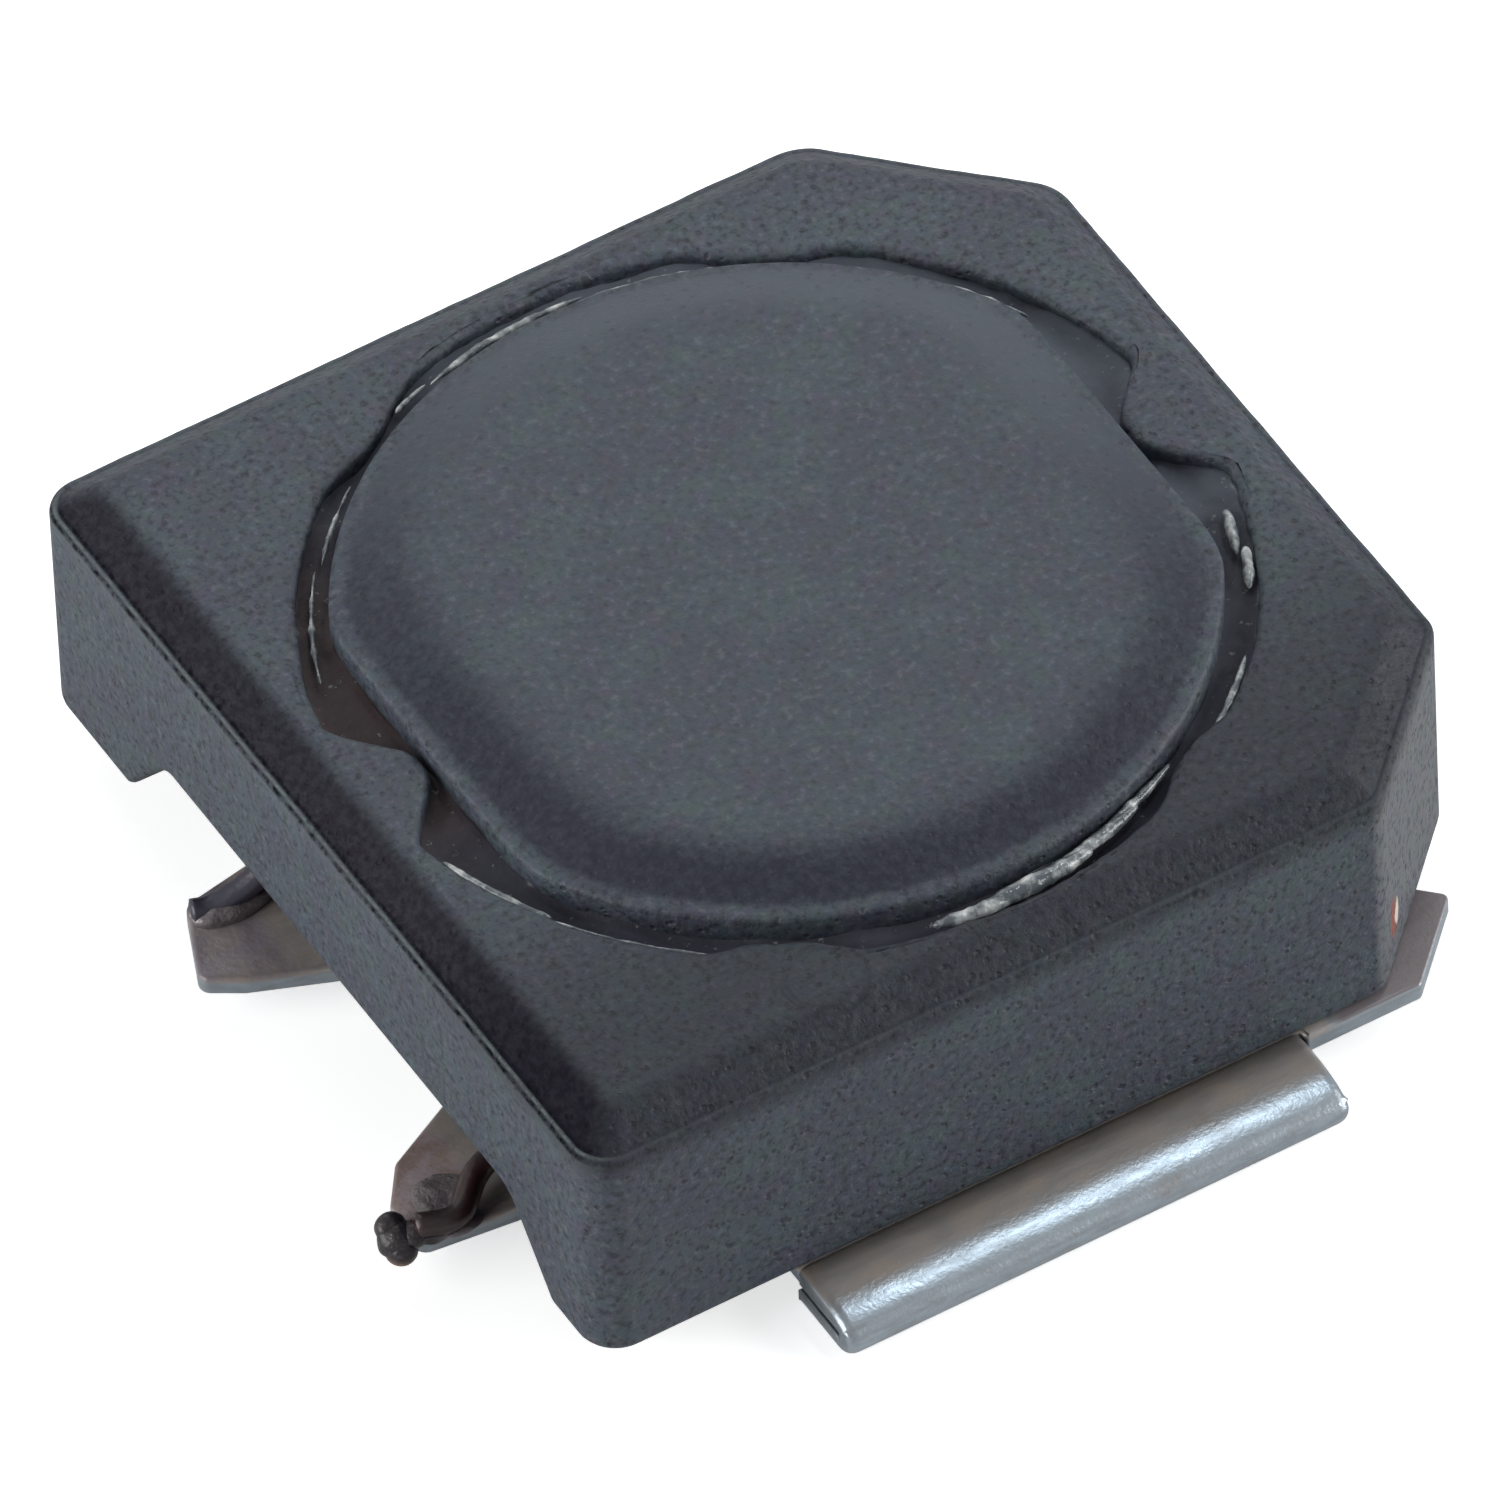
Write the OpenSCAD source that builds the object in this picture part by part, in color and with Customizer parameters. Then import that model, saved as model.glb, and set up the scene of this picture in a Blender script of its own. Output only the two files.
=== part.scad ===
// Shielded surface-mount power inductor: a ferrite drum core wound with enamelled
// wire, set in a square ferrite ring core that stands on two folded sheet terminals.
// +Z is up and z = 0 is the board plane. +X points to the two chamfered corners,
// -Y is the front foot. The origin is under the middle of the whole outline.

/* [Ring core] */
// Length of the ring core along X, from the arch side to the chamfered side
ring_l = 8; // [7:0.1:10]
// Width of the ring core along Y, from foot side to foot side
ring_w = 8; // [7:0.1:10]
// Height of the upright side faces
side_h = 2.08; // [1.7:0.02:3]
// Thinnest wall between the hole and a side face
wall = 0.47; // [0.4:0.01:0.8]
// Radius of the two upright corners on the arch side
corner_r = 0.32; // [0.1:0.02:0.6]
// Length that the front chamfer takes off each side
front_chamfer = 1.27; // [0.8:0.01:1.6]
// Length that the back chamfer takes off each side
back_chamfer = 1.42; // [0.8:0.01:1.7]
// Radius where the front chamfer meets the sides
front_chamfer_r = 0.25; // [0.1:0.05:0.8]
// Radius where the back chamfer meets the sides
back_chamfer_r = 0.4; // [0.1:0.05:0.8]

/* [Top bevel] */
// Width of the flat step round the top of the side faces
step_w = 0.05; // [0.02:0.01:0.12]
// Width of the bevel, seen from above
bevel_w = 0.31; // [0.1:0.01:0.4]
// Height of the bevel
bevel_h = 0.2; // [0.05:0.01:0.35]

/* [Centring ribs] */
// Depth of the two large ribs, which face the flats of the drum core
large_rib = 0.5; // [0.3:0.01:0.6]
// Width of a large rib at its root
large_rib_w = 1.3; // [0.8:0.05:1.6]
// Depth of the four small ribs
small_rib = 0.13; // [0.05:0.01:0.2]
// Width of a small rib at its root
small_rib_w = 1.1; // [0.6:0.05:1.4]
// Width of every rib at its tip
rib_tip_w = 0.3; // [0.2:0.05:0.5]

/* [Wire arch] */
// Height of the arch that lets the wires out under the ring
arch_h = 0.7; // [0.5:0.02:1]
// Width of the arch at its foot
arch_w = 6.1; // [5:0.1:6.4]
// Width of the arch at its crown
arch_top_w = 4.95; // [4.4:0.05:4.95]
// Shift of the arch towards the front
arch_shift = 0.25; // [0:0.05:0.4]

/* [Drum core] */
// Gap all round between the drum core and the hole
drum_gap = 0.24; // [0.15:0.01:0.35]
// Clearance between the flats of the drum core and the large ribs
rib_clearance = 0.05; // [0.02:0.01:0.1]
// Height of the drum's rim above the top of the ring
rim_rise = 0.1; // [0:0.02:0.3]
// Height of the drum's crown above its rim
crown_h = 0.18; // [0.05:0.01:0.25]
// Width of the slope between the rim and the crown
crown_slope = 0.52; // [0.2:0.02:0.8]
// Thickness of the upper flange at its rim
upper_flange = 0.62; // [0.4:0.02:0.8]
// Thickness of the lower flange
lower_flange = 0.4; // [0.3:0.02:0.5]
// Diameter of the post that carries the winding
post_d = 3.2; // [2:0.1:3.4]

/* [Winding] */
// Diameter of the enamelled wire
wire_d = 0.2; // [0.16:0.01:0.24]
// Distance from the rim of the lower flange in to the outside of the winding
coil_inset = 0.6; // [0.4:0.05:0.9]

/* [Terminals] */
// Thickness of the tin-plated sheet
sheet_t = 0.17; // [0.12:0.01:0.2]
// Slit left inside the fold of each foot
fold_slit = 0.05; // [0.02:0.01:0.1]
// Distance that a foot stands out beyond the ring
foot_reach = 0.7; // [0.5:0.05:1]
// Length of each foot along X
foot_w = 4.4; // [3:0.1:4.6]
// Shift of both feet away from the chamfered side
foot_shift = 0.1; // [0:0.05:0.3]
// Length of the lower leaf of the fold, inwards from the nose
leaf_l = 0.75; // [0.4:0.05:1]
// Distance that the plates reach in under the drum core
plate_in = 2; // [1.2:0.1:2.2]
// Distance that the plate's corner stands out beyond the chamfer
corner_tab = 0.23; // [0.1:0.01:0.4]
// Distance that the inner corner of a wire tab stands out beyond the ring
tab_reach = 0.5; // [0.3:0.05:0.8]
// Distance that the outer corner of the front wire tab stands out beyond the ring
front_corner_reach = 0.5; // [0.2:0.02:0.8]
// Distance that the outer corner of the back wire tab stands out beyond the ring
back_corner_reach = 0.24; // [0.2:0.02:0.8]
// Width of a wire tab where it passes the side of the ring
tab_w = 0.98; // [0.8:0.02:1.2]
// Width of the front wire tab at its tip
front_tip_w = 0.42; // [0.36:0.02:0.8]
// Width of the back wire tab at its tip
back_tip_w = 0.7; // [0.36:0.02:0.8]
// Angle by which the front wire tab splays outwards
front_splay = 25; // [0:1:30]
// Angle by which the back wire tab splays outwards
back_splay = 8; // [0:1:30]
// Distance of each wire tab from the line half-way between them
tab_offset = 1.47; // [1.3:0.01:1.5]
// Shift of both wire tabs towards the front
tab_shift = 0.33; // [0:0.01:0.4]

/* [Solder and adhesive] */
// Radius of the solder bead at the tip of the front wire tab
front_bead_r = 0.22; // [0.15:0.01:0.25]
// Radius of the solder bead at the tip of the back wire tab
back_bead_r = 0.13; // [0.12:0.01:0.2]
// Height of the solder beside a wire on its tab
solder_h = 0.18; // [0.12:0.01:0.2]
// Thickness of the adhesive between the drum core and the plates
glue_t = 0.05; // [0.02:0.01:0.08]

/* [Hidden] */
$fn = 64;
eps = 0.01;

// Heights, from the board upwards
stand_off = 2 * sheet_t + fold_slit;
side_top = stand_off + side_h;
ring_top = side_top + bevel_h;
rim_z = ring_top + rim_rise;
crown_z = rim_z + crown_h;
drum_z = stand_off + glue_t;
window_low = drum_z + lower_flange;
window_high = rim_z - upper_flange;

// Plan sizes
hole_r = min(ring_l, ring_w) / 2 - wall;
drum_r = hole_r - drum_gap;
flat_x = hole_r - large_rib - rib_clearance;
solder_r = wire_d * 0.8;
coil_r = drum_r - coil_inset;
nose_r = stand_off / 2;
nose_y = ring_w / 2 + foot_reach - nose_r;
foot_x = -foot_w / 2 - foot_shift;

// Wire tabs: [side, splay, width of the tip, radius of the bead, reach of the outer corner]
FRONT = [-1, front_splay, front_tip_w, front_bead_r, front_corner_reach];
BACK = [1, back_splay, back_tip_w, back_bead_r, back_corner_reach];

// The front bead is the point furthest to -X, so half its reach centres the part
bead_lead = 0.6;
bead_x = -ring_l / 2 - front_corner_reach - front_bead_r * bead_lead;
ring_shift = (-bead_x + front_bead_r - ring_l / 2) / 2;
arch_in = hole_r * 0.74;

// Points of a polygon whose corners [x, y, radius] are rounded, going anticlockwise
function unit(v) = v / norm(v);
function turn_points(a, p, b, r) =
    let (u = unit([a.x - p.x, a.y - p.y]), v = unit([b.x - p.x, b.y - p.y]))
    let (half = acos(u * v) / 2, reach = r / tan(half))
    let (centre = [p.x, p.y] + unit(u + v) * r / sin(half))
    let (from = [p.x, p.y] + u * reach - centre, to = [p.x, p.y] + v * reach - centre)
    let (first = atan2(from.y, from.x), last = atan2(to.y, to.x))
    let (sweep = (last - first + 540) % 360 - 180, steps = max(2, ceil(abs(sweep) / 9)))
    [for (i = [0 : steps])
        let (angle = first + sweep * i / steps)
        centre + r * [cos(angle), sin(angle)]];
function rounded(corners) =
    let (n = len(corners))
    [for (i = [0 : n - 1])
        let (p = corners[i])
        each (p.z <= 0 ? [[p.x, p.y]]
            : turn_points(corners[(i + n - 1) % n], p, corners[(i + 1) % n], p.z))];

// ---- Ring core ----
function ring_outline() =
    let (x = ring_l / 2, y = ring_w / 2)
    rounded([[-x, -y, corner_r],
             [x - front_chamfer, -y, front_chamfer_r],
             [x, front_chamfer - y, front_chamfer_r],
             [x, y - back_chamfer, back_chamfer_r],
             [x - back_chamfer, y, back_chamfer_r],
             [-x, y, corner_r]]);

module rib(depth, root_w) {
    tip = hole_r - depth;
    root = sqrt(hole_r * hole_r - root_w * root_w / 4);
    outer = hole_r + wall / 2;
    outer_w = rib_tip_w + (root_w - rib_tip_w) * (outer - tip) / (root - tip);
    polygon(rounded([[tip, -rib_tip_w / 2, rib_tip_w / 3],
                     [outer, -outer_w / 2, 0],
                     [outer, outer_w / 2, 0],
                     [tip, rib_tip_w / 2, rib_tip_w / 3]]));
}

module ring_hole() {
    difference() {
        circle(hole_r);
        for (a = [0, 180]) rotate(a) rib(large_rib, large_rib_w);
        for (a = [60, 120, 240, 300]) rotate(a) rib(small_rib, small_rib_w);
    }
}

// A wedge that takes the top edge off a side whose face lies at x = 0
module edge_wedge(length, width, height, step) {
    over = 1;
    rotate([90, 0, 0])
        linear_extrude(length, center = true)
            polygon([[over, 0], [-step, 0], [-step - width, height],
                     [-step - width, height + over], [over, height + over]]);
}

module top_bevels() {
    long = ring_l + ring_w;
    chamfer_dist = function (cut) (ring_l + ring_w - 2 * cut) / (2 * sqrt(2));
    sides = [[0, ring_l / 2], [90, ring_w / 2], [180, ring_l / 2], [270, ring_w / 2]];
    turned = [[atan2(1, 1), chamfer_dist(back_chamfer)], [-atan2(1, 1), chamfer_dist(front_chamfer)]];
    for (s = concat(sides, turned))
        rotate(s[0])
            translate([s[1], 0, side_top])
                edge_wedge(long, bevel_w, bevel_h, step_w);
}

module wire_arch() {
    round_r = 0.25;
    rotate([90, 0, -90])
        translate([arch_shift, stand_off, arch_in])
            linear_extrude(ring_l / 2 - arch_in + eps)
                polygon(rounded([[-arch_w / 2, -eps, 0],
                                 [arch_w / 2, -eps, 0],
                                 [arch_top_w / 2, arch_h, round_r],
                                 [-arch_top_w / 2, arch_h, round_r]]));
}

module ring_body() {
    press_mark_r = 0.2;
    press_mark_depth = 0.02;
    difference() {
        translate([0, 0, stand_off])
            linear_extrude(ring_top - stand_off)
                difference() {
                    polygon(ring_outline());
                    ring_hole();
                }
        top_bevels();
        wire_arch();
        translate([-1.7, step_w + bevel_w + press_mark_r + eps - ring_w / 2,
                   ring_top - press_mark_depth])
            cylinder(r = press_mark_r, h = 1);
    }
}

// ---- Drum core ----
module drum_body() {
    crown_r = drum_r - crown_slope;
    difference() {
        intersection() {
            rotate_extrude()
                polygon([[0, drum_z], [drum_r, drum_z], [drum_r, window_low],
                         [post_d / 2, window_low], [post_d / 2, window_high],
                         [drum_r, window_high], [drum_r, rim_z],
                         [crown_r, crown_z], [0, crown_z]]);
            translate([-flat_x, -drum_r, 0]) cube([2 * flat_x, 2 * drum_r, crown_z]);
        }
        for (a = [0, 180])
            rotate(a)
                translate([flat_x, 0, rim_z])
                    edge_wedge(2 * drum_r, crown_slope, crown_h, 0);
    }
}

// ---- Winding ----
// Round tubes, one along each path; no path may run along Y
module tubes(paths, d) {
    sides = 8;
    function ring(path, i) =
        let (last = len(path) - 1)
        let (along = unit(path[min(i + 1, last)] - path[max(i - 1, 0)]))
        let (across = unit(cross(along, [0, 1, 0])), up = cross(along, across))
        [for (k = [0 : sides - 1])
            path[i] + (across * cos(360 * k / sides) + up * sin(360 * k / sides)) * d / 2];
    function faces(first, last) = concat(
        [[for (k = [0 : sides - 1]) first + k]],
        [for (i = [0 : last - 1], k = [0 : sides - 1])
            let (a = first + i * sides + k, b = first + i * sides + (k + 1) % sides)
            [a, a + sides, b + sides, b]],
        [[for (k = [sides - 1 : -1 : 0]) first + last * sides + k]]);
    points = [for (path = paths, i = [0 : len(path) - 1]) each ring(path, i)];
    per_path = len(paths[0]) * sides;
    polyhedron(points, [for (n = [0 : len(paths) - 1]) each faces(n * per_path, len(paths[n]) - 1)]);
}

// Points of a smooth curve through a list of points
function smooth(p, steps) =
    let (n = len(p) - 1)
    concat([for (i = [0 : n - 1])
        let (a = p[max(i - 1, 0)], b = p[i], c = p[i + 1], d = p[min(i + 2, n)])
        for (k = [0 : steps - 1])
            let (t = k / steps)
            0.5 * (2 * b + (c - a) * t + (2 * a - 5 * b + 4 * c - d) * t * t
                   + (3 * b - a - 3 * c + d) * t * t * t)], [p[n]]);

// The coil is one solid: a sleeve whose outside shows each turn of the last layer
module coil() {
    turns = floor((window_high - window_low) / wire_d);
    pitch = (window_high - window_low) / turns;
    turn_steps = 6;
    turn_edge = [for (i = [0 : turns - 1], k = [1 : turn_steps - 1])
        let (angle = 180 * k / turn_steps - 90)
        [coil_r - wire_d / 2 + wire_d / 2 * cos(angle),
         window_low + pitch * (i + 0.5 + sin(angle) / 2)]];
    rotate_extrude()
        polygon(concat([[post_d / 2 + eps, window_low + eps]],
                       [[coil_r - wire_d / 2, window_low + eps]],
                       turn_edge,
                       [[coil_r - wire_d / 2, window_high - eps]],
                       [[post_d / 2 + eps, window_high - eps]]));
}

// The wire leaves the coil over the lower flange, passes under the arch and ends in
// the bead at the outer corner of the tip of its tab
function tip_corner(tab) =
    [-ring_l / 2 - tab[4],
     -tab_shift + tab[0] * (tab_offset + tan(tab[1]) * tab_reach + tab[2] / 2)];
function wire_end(tab) = tip_corner(tab) + [-wire_d * 0.2, -tab[0] * wire_d * 0.7];
function chord_x(radius, y) = -sqrt(radius * radius - y * y);
function lead_points(tab) =
    let (over_flange = window_low + wire_d / 2 + 6 * eps)
    let (on_tab = stand_off + wire_d / 2 + 2 * eps)
    let (end = wire_end(tab), y = end.y - tab[0] * wire_d * 0.5)
    let (hole_x = chord_x(hole_r, y))
    [[chord_x(coil_r + wire_d / 2 + eps, y), y, over_flange],
     [chord_x(drum_r, y), y, over_flange],
     [hole_x - wire_d, y, (over_flange * 2 + on_tab) / 3],
     [-ring_l / 2 + wire_d, y, on_tab + wire_d / 2],
     [-ring_l / 2 - wire_d / 2, (y + end.y) / 2, on_tab],
     [end.x, end.y, on_tab]];
function lead_path(tab) =
    let (points = lead_points(tab), last = len(points) - 1)
    concat(smooth([for (i = [0 : last - 1]) points[i]], 4), [points[last]]);

module leads() tubes([lead_path(FRONT), lead_path(BACK)], wire_d);

// Room for the straight end of a lead in the solder round it
module lead_room(tab) {
    points = lead_points(tab);
    end = points[len(points) - 1];
    along = end - points[len(points) - 2];
    translate(end - along * 2)
        rotate([0, 90, atan2(along.y, along.x)])
            cylinder(d = wire_d + 2 * eps, h = norm(along) * 2 + eps);
}

module winding_body() {
    coil();
    leads();
}

// ---- Terminals, drawn at the front; the back one is the mirror image ----
// Plan of the flat part of the front terminal, which the given tab reaches out from
module plate_plan(tab) {
    centre = tab[0] * tab_shift - tab_offset;
    edge_x = -ring_l / 2;
    root_x = edge_x + 0.7;
    slope = tan(tab[1]);
    tip = [edge_x - tab_reach, centre - slope * tab_reach];
    root_y = centre + slope * (root_x - edge_x);
    front_y = -ring_w / 2 - 0.06;
    corner_x = ring_l / 2 - front_chamfer + corner_tab * sqrt(2) - 0.06;
    chamfer = [ring_l / 2 - front_chamfer / 2, front_chamfer / 2 - ring_w / 2];
    polygon(rounded([[foot_x, front_y, 0],
                     [corner_x, front_y, 0.05],
                     [chamfer.x + corner_tab * 0.71 + 0.12, chamfer.y - corner_tab * 0.71 + 0.12, 0.05],
                     [chamfer.x - 0.5, chamfer.y + 0.74, 0.2],
                     [1.4, -plate_in, 0.3],
                     [foot_x, -plate_in, 0.3],
                     [root_x, root_y + tab_w / 2, 0.2],
                     [tip.x, tip.y + tab[2] / 2, 0.12],
                     [edge_x - tab[4], tip.y - tab[2] / 2, 0.12],
                     [root_x, centre - tab_w * 0.6, 0.2],
                     [foot_x, centre - tab_w * 1.4, 0]]));
}

module foot_fold() {
    lower_end = nose_y - leaf_l + nose_r;
    translate([foot_x, 0, 0])
        rotate([90, 0, 90])
            linear_extrude(foot_w) {
                translate([-nose_y, stand_off - sheet_t])
                    square([foot_reach, sheet_t]);
                translate([-nose_y, 0])
                    square([nose_y - lower_end, sheet_t]);
                translate([-nose_y, nose_r])
                    difference() {
                        circle(nose_r);
                        circle(fold_slit / 2);
                        translate([0, -nose_r]) square([nose_r, stand_off]);
                    }
            }
}

module terminal(tab) {
    union() {
        translate([0, 0, stand_off - sheet_t])
            linear_extrude(sheet_t) plate_plan(tab);
        foot_fold();
    }
}

module front_terminal_body() terminal(FRONT);
module back_terminal_body() mirror([0, 1, 0]) terminal(BACK);

// ---- Solder: fillets beside the wire and a bead round the outer corner of the tip ----
module solder_on_tab(tab) {
    points = lead_points(tab);
    end = points[len(points) - 1];
    along = end - points[len(points) - 2];
    turn = [0, 90, atan2(along.y, along.x)];
    translate([end.x - along.x, end.y - along.y, stand_off + solder_h - solder_r])
        rotate(turn)
            cylinder(r = solder_r, h = norm(along) * 0.9);
    translate([-ring_l / 2 - tab[4] - tab[3] * bead_lead, end.y + tab[0] * eps, stand_off])
        rotate(turn)
            sphere(tab[3]);
}

// ---- Adhesive ----
// Beads in the gap between the cores: [start angle, sweep, diameter]
BEADS = [[196, 17, 0.12], [263, 27, 0.2], [310, 7, 0.12], [328, 16, 0.17],
         [26, 24, 0.1], [70, 36, 0.1], [130, 32, 0.12]];

module gap_beads() {
    bead_r = (drum_r + hole_r) / 2;
    for (b = BEADS)
        rotate(b[0])
            translate([0, 0, ring_top - 0.03])
                rotate_extrude(angle = b[1])
                    translate([bead_r, 0]) circle(d = b[2]);
}

module glue_pad(tab) {
    inset = 0.2;
    translate([0, 0, stand_off])
        linear_extrude(glue_t)
            intersection() {
                plate_plan(tab);
                circle(drum_r - inset);
                translate([-flat_x + inset, -drum_r]) square([2 * (flat_x - inset), 2 * drum_r]);
            }
}

module placed() translate([ring_shift, 0, 0]) children();

module ring_core() color("#454b55") placed() ring_body();
module drum_core() color("#4d545e") placed() drum_body();
module winding() color("#5a2a1a") placed() winding_body();
module terminal_front() color("#a9abab") placed() front_terminal_body();
module terminal_back() color("#a9abab") placed() back_terminal_body();
module solder_front() color("#8d8a88") placed()
    difference() {
        solder_on_tab(FRONT);
        front_terminal_body();
        lead_room(FRONT);
    }
module solder_back() color("#8d8a88") placed()
    difference() {
        solder_on_tab(BACK);
        back_terminal_body();
        lead_room(BACK);
    }
module ring_adhesive() color("#b9bcb8") placed() gap_beads();
module plate_adhesive() color("#6b5a3a") placed() {
    glue_pad(FRONT);
    mirror([0, 1, 0]) glue_pad(BACK);
}

ring_core();
drum_core();
winding();
terminal_front();
terminal_back();
solder_front();
solder_back();
ring_adhesive();
plate_adhesive();
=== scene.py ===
import bpy
import bmesh
import numpy as np
from math import atan2, ceil, cos, degrees, hypot, pi, radians, sin, sqrt, tan
from mathutils import Matrix, Vector, noise


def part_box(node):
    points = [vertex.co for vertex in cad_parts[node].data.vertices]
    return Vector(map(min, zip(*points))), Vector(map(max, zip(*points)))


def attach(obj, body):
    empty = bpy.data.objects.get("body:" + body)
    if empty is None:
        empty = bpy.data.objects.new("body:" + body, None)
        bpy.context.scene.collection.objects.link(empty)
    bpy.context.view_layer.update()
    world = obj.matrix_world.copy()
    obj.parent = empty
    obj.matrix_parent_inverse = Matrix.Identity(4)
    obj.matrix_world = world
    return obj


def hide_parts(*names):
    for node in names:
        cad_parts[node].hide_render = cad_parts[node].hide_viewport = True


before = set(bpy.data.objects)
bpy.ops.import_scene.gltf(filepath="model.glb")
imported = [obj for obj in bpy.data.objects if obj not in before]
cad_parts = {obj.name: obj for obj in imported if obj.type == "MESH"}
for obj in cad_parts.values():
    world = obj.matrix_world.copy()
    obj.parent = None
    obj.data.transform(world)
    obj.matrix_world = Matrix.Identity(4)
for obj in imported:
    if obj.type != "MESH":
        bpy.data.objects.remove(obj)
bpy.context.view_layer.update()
mm = 0.001

ringLow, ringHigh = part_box("ring_core")
ringMiddle = (ringLow + ringHigh) / 2  # the ring's own axis, which the drum shares


# Small helpers for node trees

def treeOf(*values):
    # the node tree that linked values are worked out in
    return next(v.id_data for v in values if isinstance(v, bpy.types.NodeSocket))


def feed(tree, node, values):
    # a value that comes from another node is linked, any other is written down
    for key, value in values.items():
        if isinstance(value, bpy.types.NodeSocket):
            tree.links.new(value, node.inputs[key])
        else:
            node.inputs[key].default_value = value
    return node


def addNode(tree, kind, values=None, **settings):
    node = tree.nodes.new(kind)
    for key, value in settings.items():
        setattr(node, key, value)
    return feed(tree, node, values or {})


def mathOf(operation, *values, clamp=False):
    settings = {"operation": operation, "use_clamp": clamp}
    return addNode(treeOf(*values), "ShaderNodeMath", dict(enumerate(values)), **settings).outputs[0]


def times(first, *others):
    for other in others:
        first = mathOf("MULTIPLY", first, other)
    return first


def plus(a, b):
    return mathOf("ADD", a, b)


def minus(a, b, clamp=False):
    return mathOf("SUBTRACT", a, b, clamp=clamp)


def vectorOf(operation, values, result=0):
    return addNode(treeOf(values[0]), "ShaderNodeVectorMath", values, operation=operation).outputs[result]


def farFrom(place, middle, stretch=(1, 1, 1)):
    # distance from a middle, with each axis stretched by its own amount
    away = vectorOf("MULTIPLY", {0: vectorOf("SUBTRACT", {0: place, 1: middle}), 1: stretch})
    return vectorOf("LENGTH", {0: away}, "Value")


def noiseOf(place, scale, detail=2.0, roughness=0.5, result="Fac"):
    values = {"Vector": place, "Scale": scale, "Detail": detail, "Roughness": roughness}
    return addNode(treeOf(place), "ShaderNodeTexNoise", values).outputs[result]


def rangeOf(value, low, high, toLow=0.0, toHigh=1.0):
    # a smooth step from one range to another
    values = {"Value": value, "From Min": low, "From Max": high, "To Min": toLow, "To Max": toHigh}
    node = addNode(treeOf(value), "ShaderNodeMapRange", values, interpolation_type="SMOOTHSTEP")
    return node.outputs["Result"]


def mix(factor, a, b, blend="MIX"):
    tree = treeOf(factor, a, b)
    node = addNode(tree, "ShaderNodeMix", data_type="RGBA", blend_type=blend)
    index = {socket.name: i for i, socket in enumerate(node.inputs) if socket.enabled}
    feed(tree, node, {index["Factor"]: factor, index["A"]: a, index["B"]: b})
    return next(socket for socket in node.outputs if socket.enabled)


def newMaterial(name):
    material = bpy.data.materials.new(name)
    material.use_nodes = True
    tree = material.node_tree
    tree.nodes.clear()
    out = tree.nodes.new("ShaderNodeOutputMaterial")
    shader = tree.nodes.new("ShaderNodeBsdfPrincipled")
    tree.links.new(shader.outputs["BSDF"], out.inputs["Surface"])
    return material, tree, shader


def newFinish(name):
    # a material, with the place in millimetres round the ring's axis, whole and as x, y and z
    material, tree, shader = newMaterial(name)
    coords = addNode(tree, "ShaderNodeTexCoord").outputs["Object"]
    moved = vectorOf("SUBTRACT", {0: coords, 1: (ringMiddle.x, 0, 0)})
    place = vectorOf("SCALE", {0: moved, "Scale": 1 / mm})
    return material, tree, shader, place, *addNode(tree, "ShaderNodeSeparateXYZ", {0: place}).outputs


def dress(shader, relief, values):
    # relief: height, strength and depth in millimetres of the fine bump; values: the rest of the shader
    tree = shader.id_data
    height, strength, depth = relief
    bump = addNode(tree, "ShaderNodeBump", {"Height": height, "Strength": strength, "Distance": depth * mm})
    feed(tree, shader, {**values, "Normal": bump.outputs["Normal"]})


def paint(red, green, blue):
    # a display colour, 0 to 255, as the linear value a shader takes
    linear = [((v / 255 + 0.055) / 1.055) ** 2.4 if v > 10 else v / 255 / 12.92 for v in (red, green, blue)]
    return (*linear, 1.0)


# Ferrite

ferriteLook = {
    "body": paint(58, 64, 74), "light": paint(86, 93, 103), "dark": paint(36, 38, 48),
    "pore": paint(18, 18, 25), "green": paint(62, 76, 80), "violet": paint(68, 63, 80),
    # among these, the groove, slope and front-shade colours are painted shade and the bevel colour partly so; the
    # chamfer, edge and far-slope colours are painted light, and the chip's white a painted highlight
    "scar": paint(120, 62, 48), "chipHighlight": paint(200, 188, 176), "bevel": paint(32, 29, 37), "grooveShade": paint(8, 9, 14),
    "chamfer": paint(98, 100, 102), "edge": paint(104, 112, 112), "slope": paint(40, 41, 52),
    "farSlopeLight": paint(86, 92, 102), "frontShade": paint(140, 142, 151), "roughness": 0.6,
    # how many to a millimetre
    "grains": 15.0, "mottles": 1.6, "blotches": 5.5, "pores": 9.5, "tints": 7.5,
}


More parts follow.
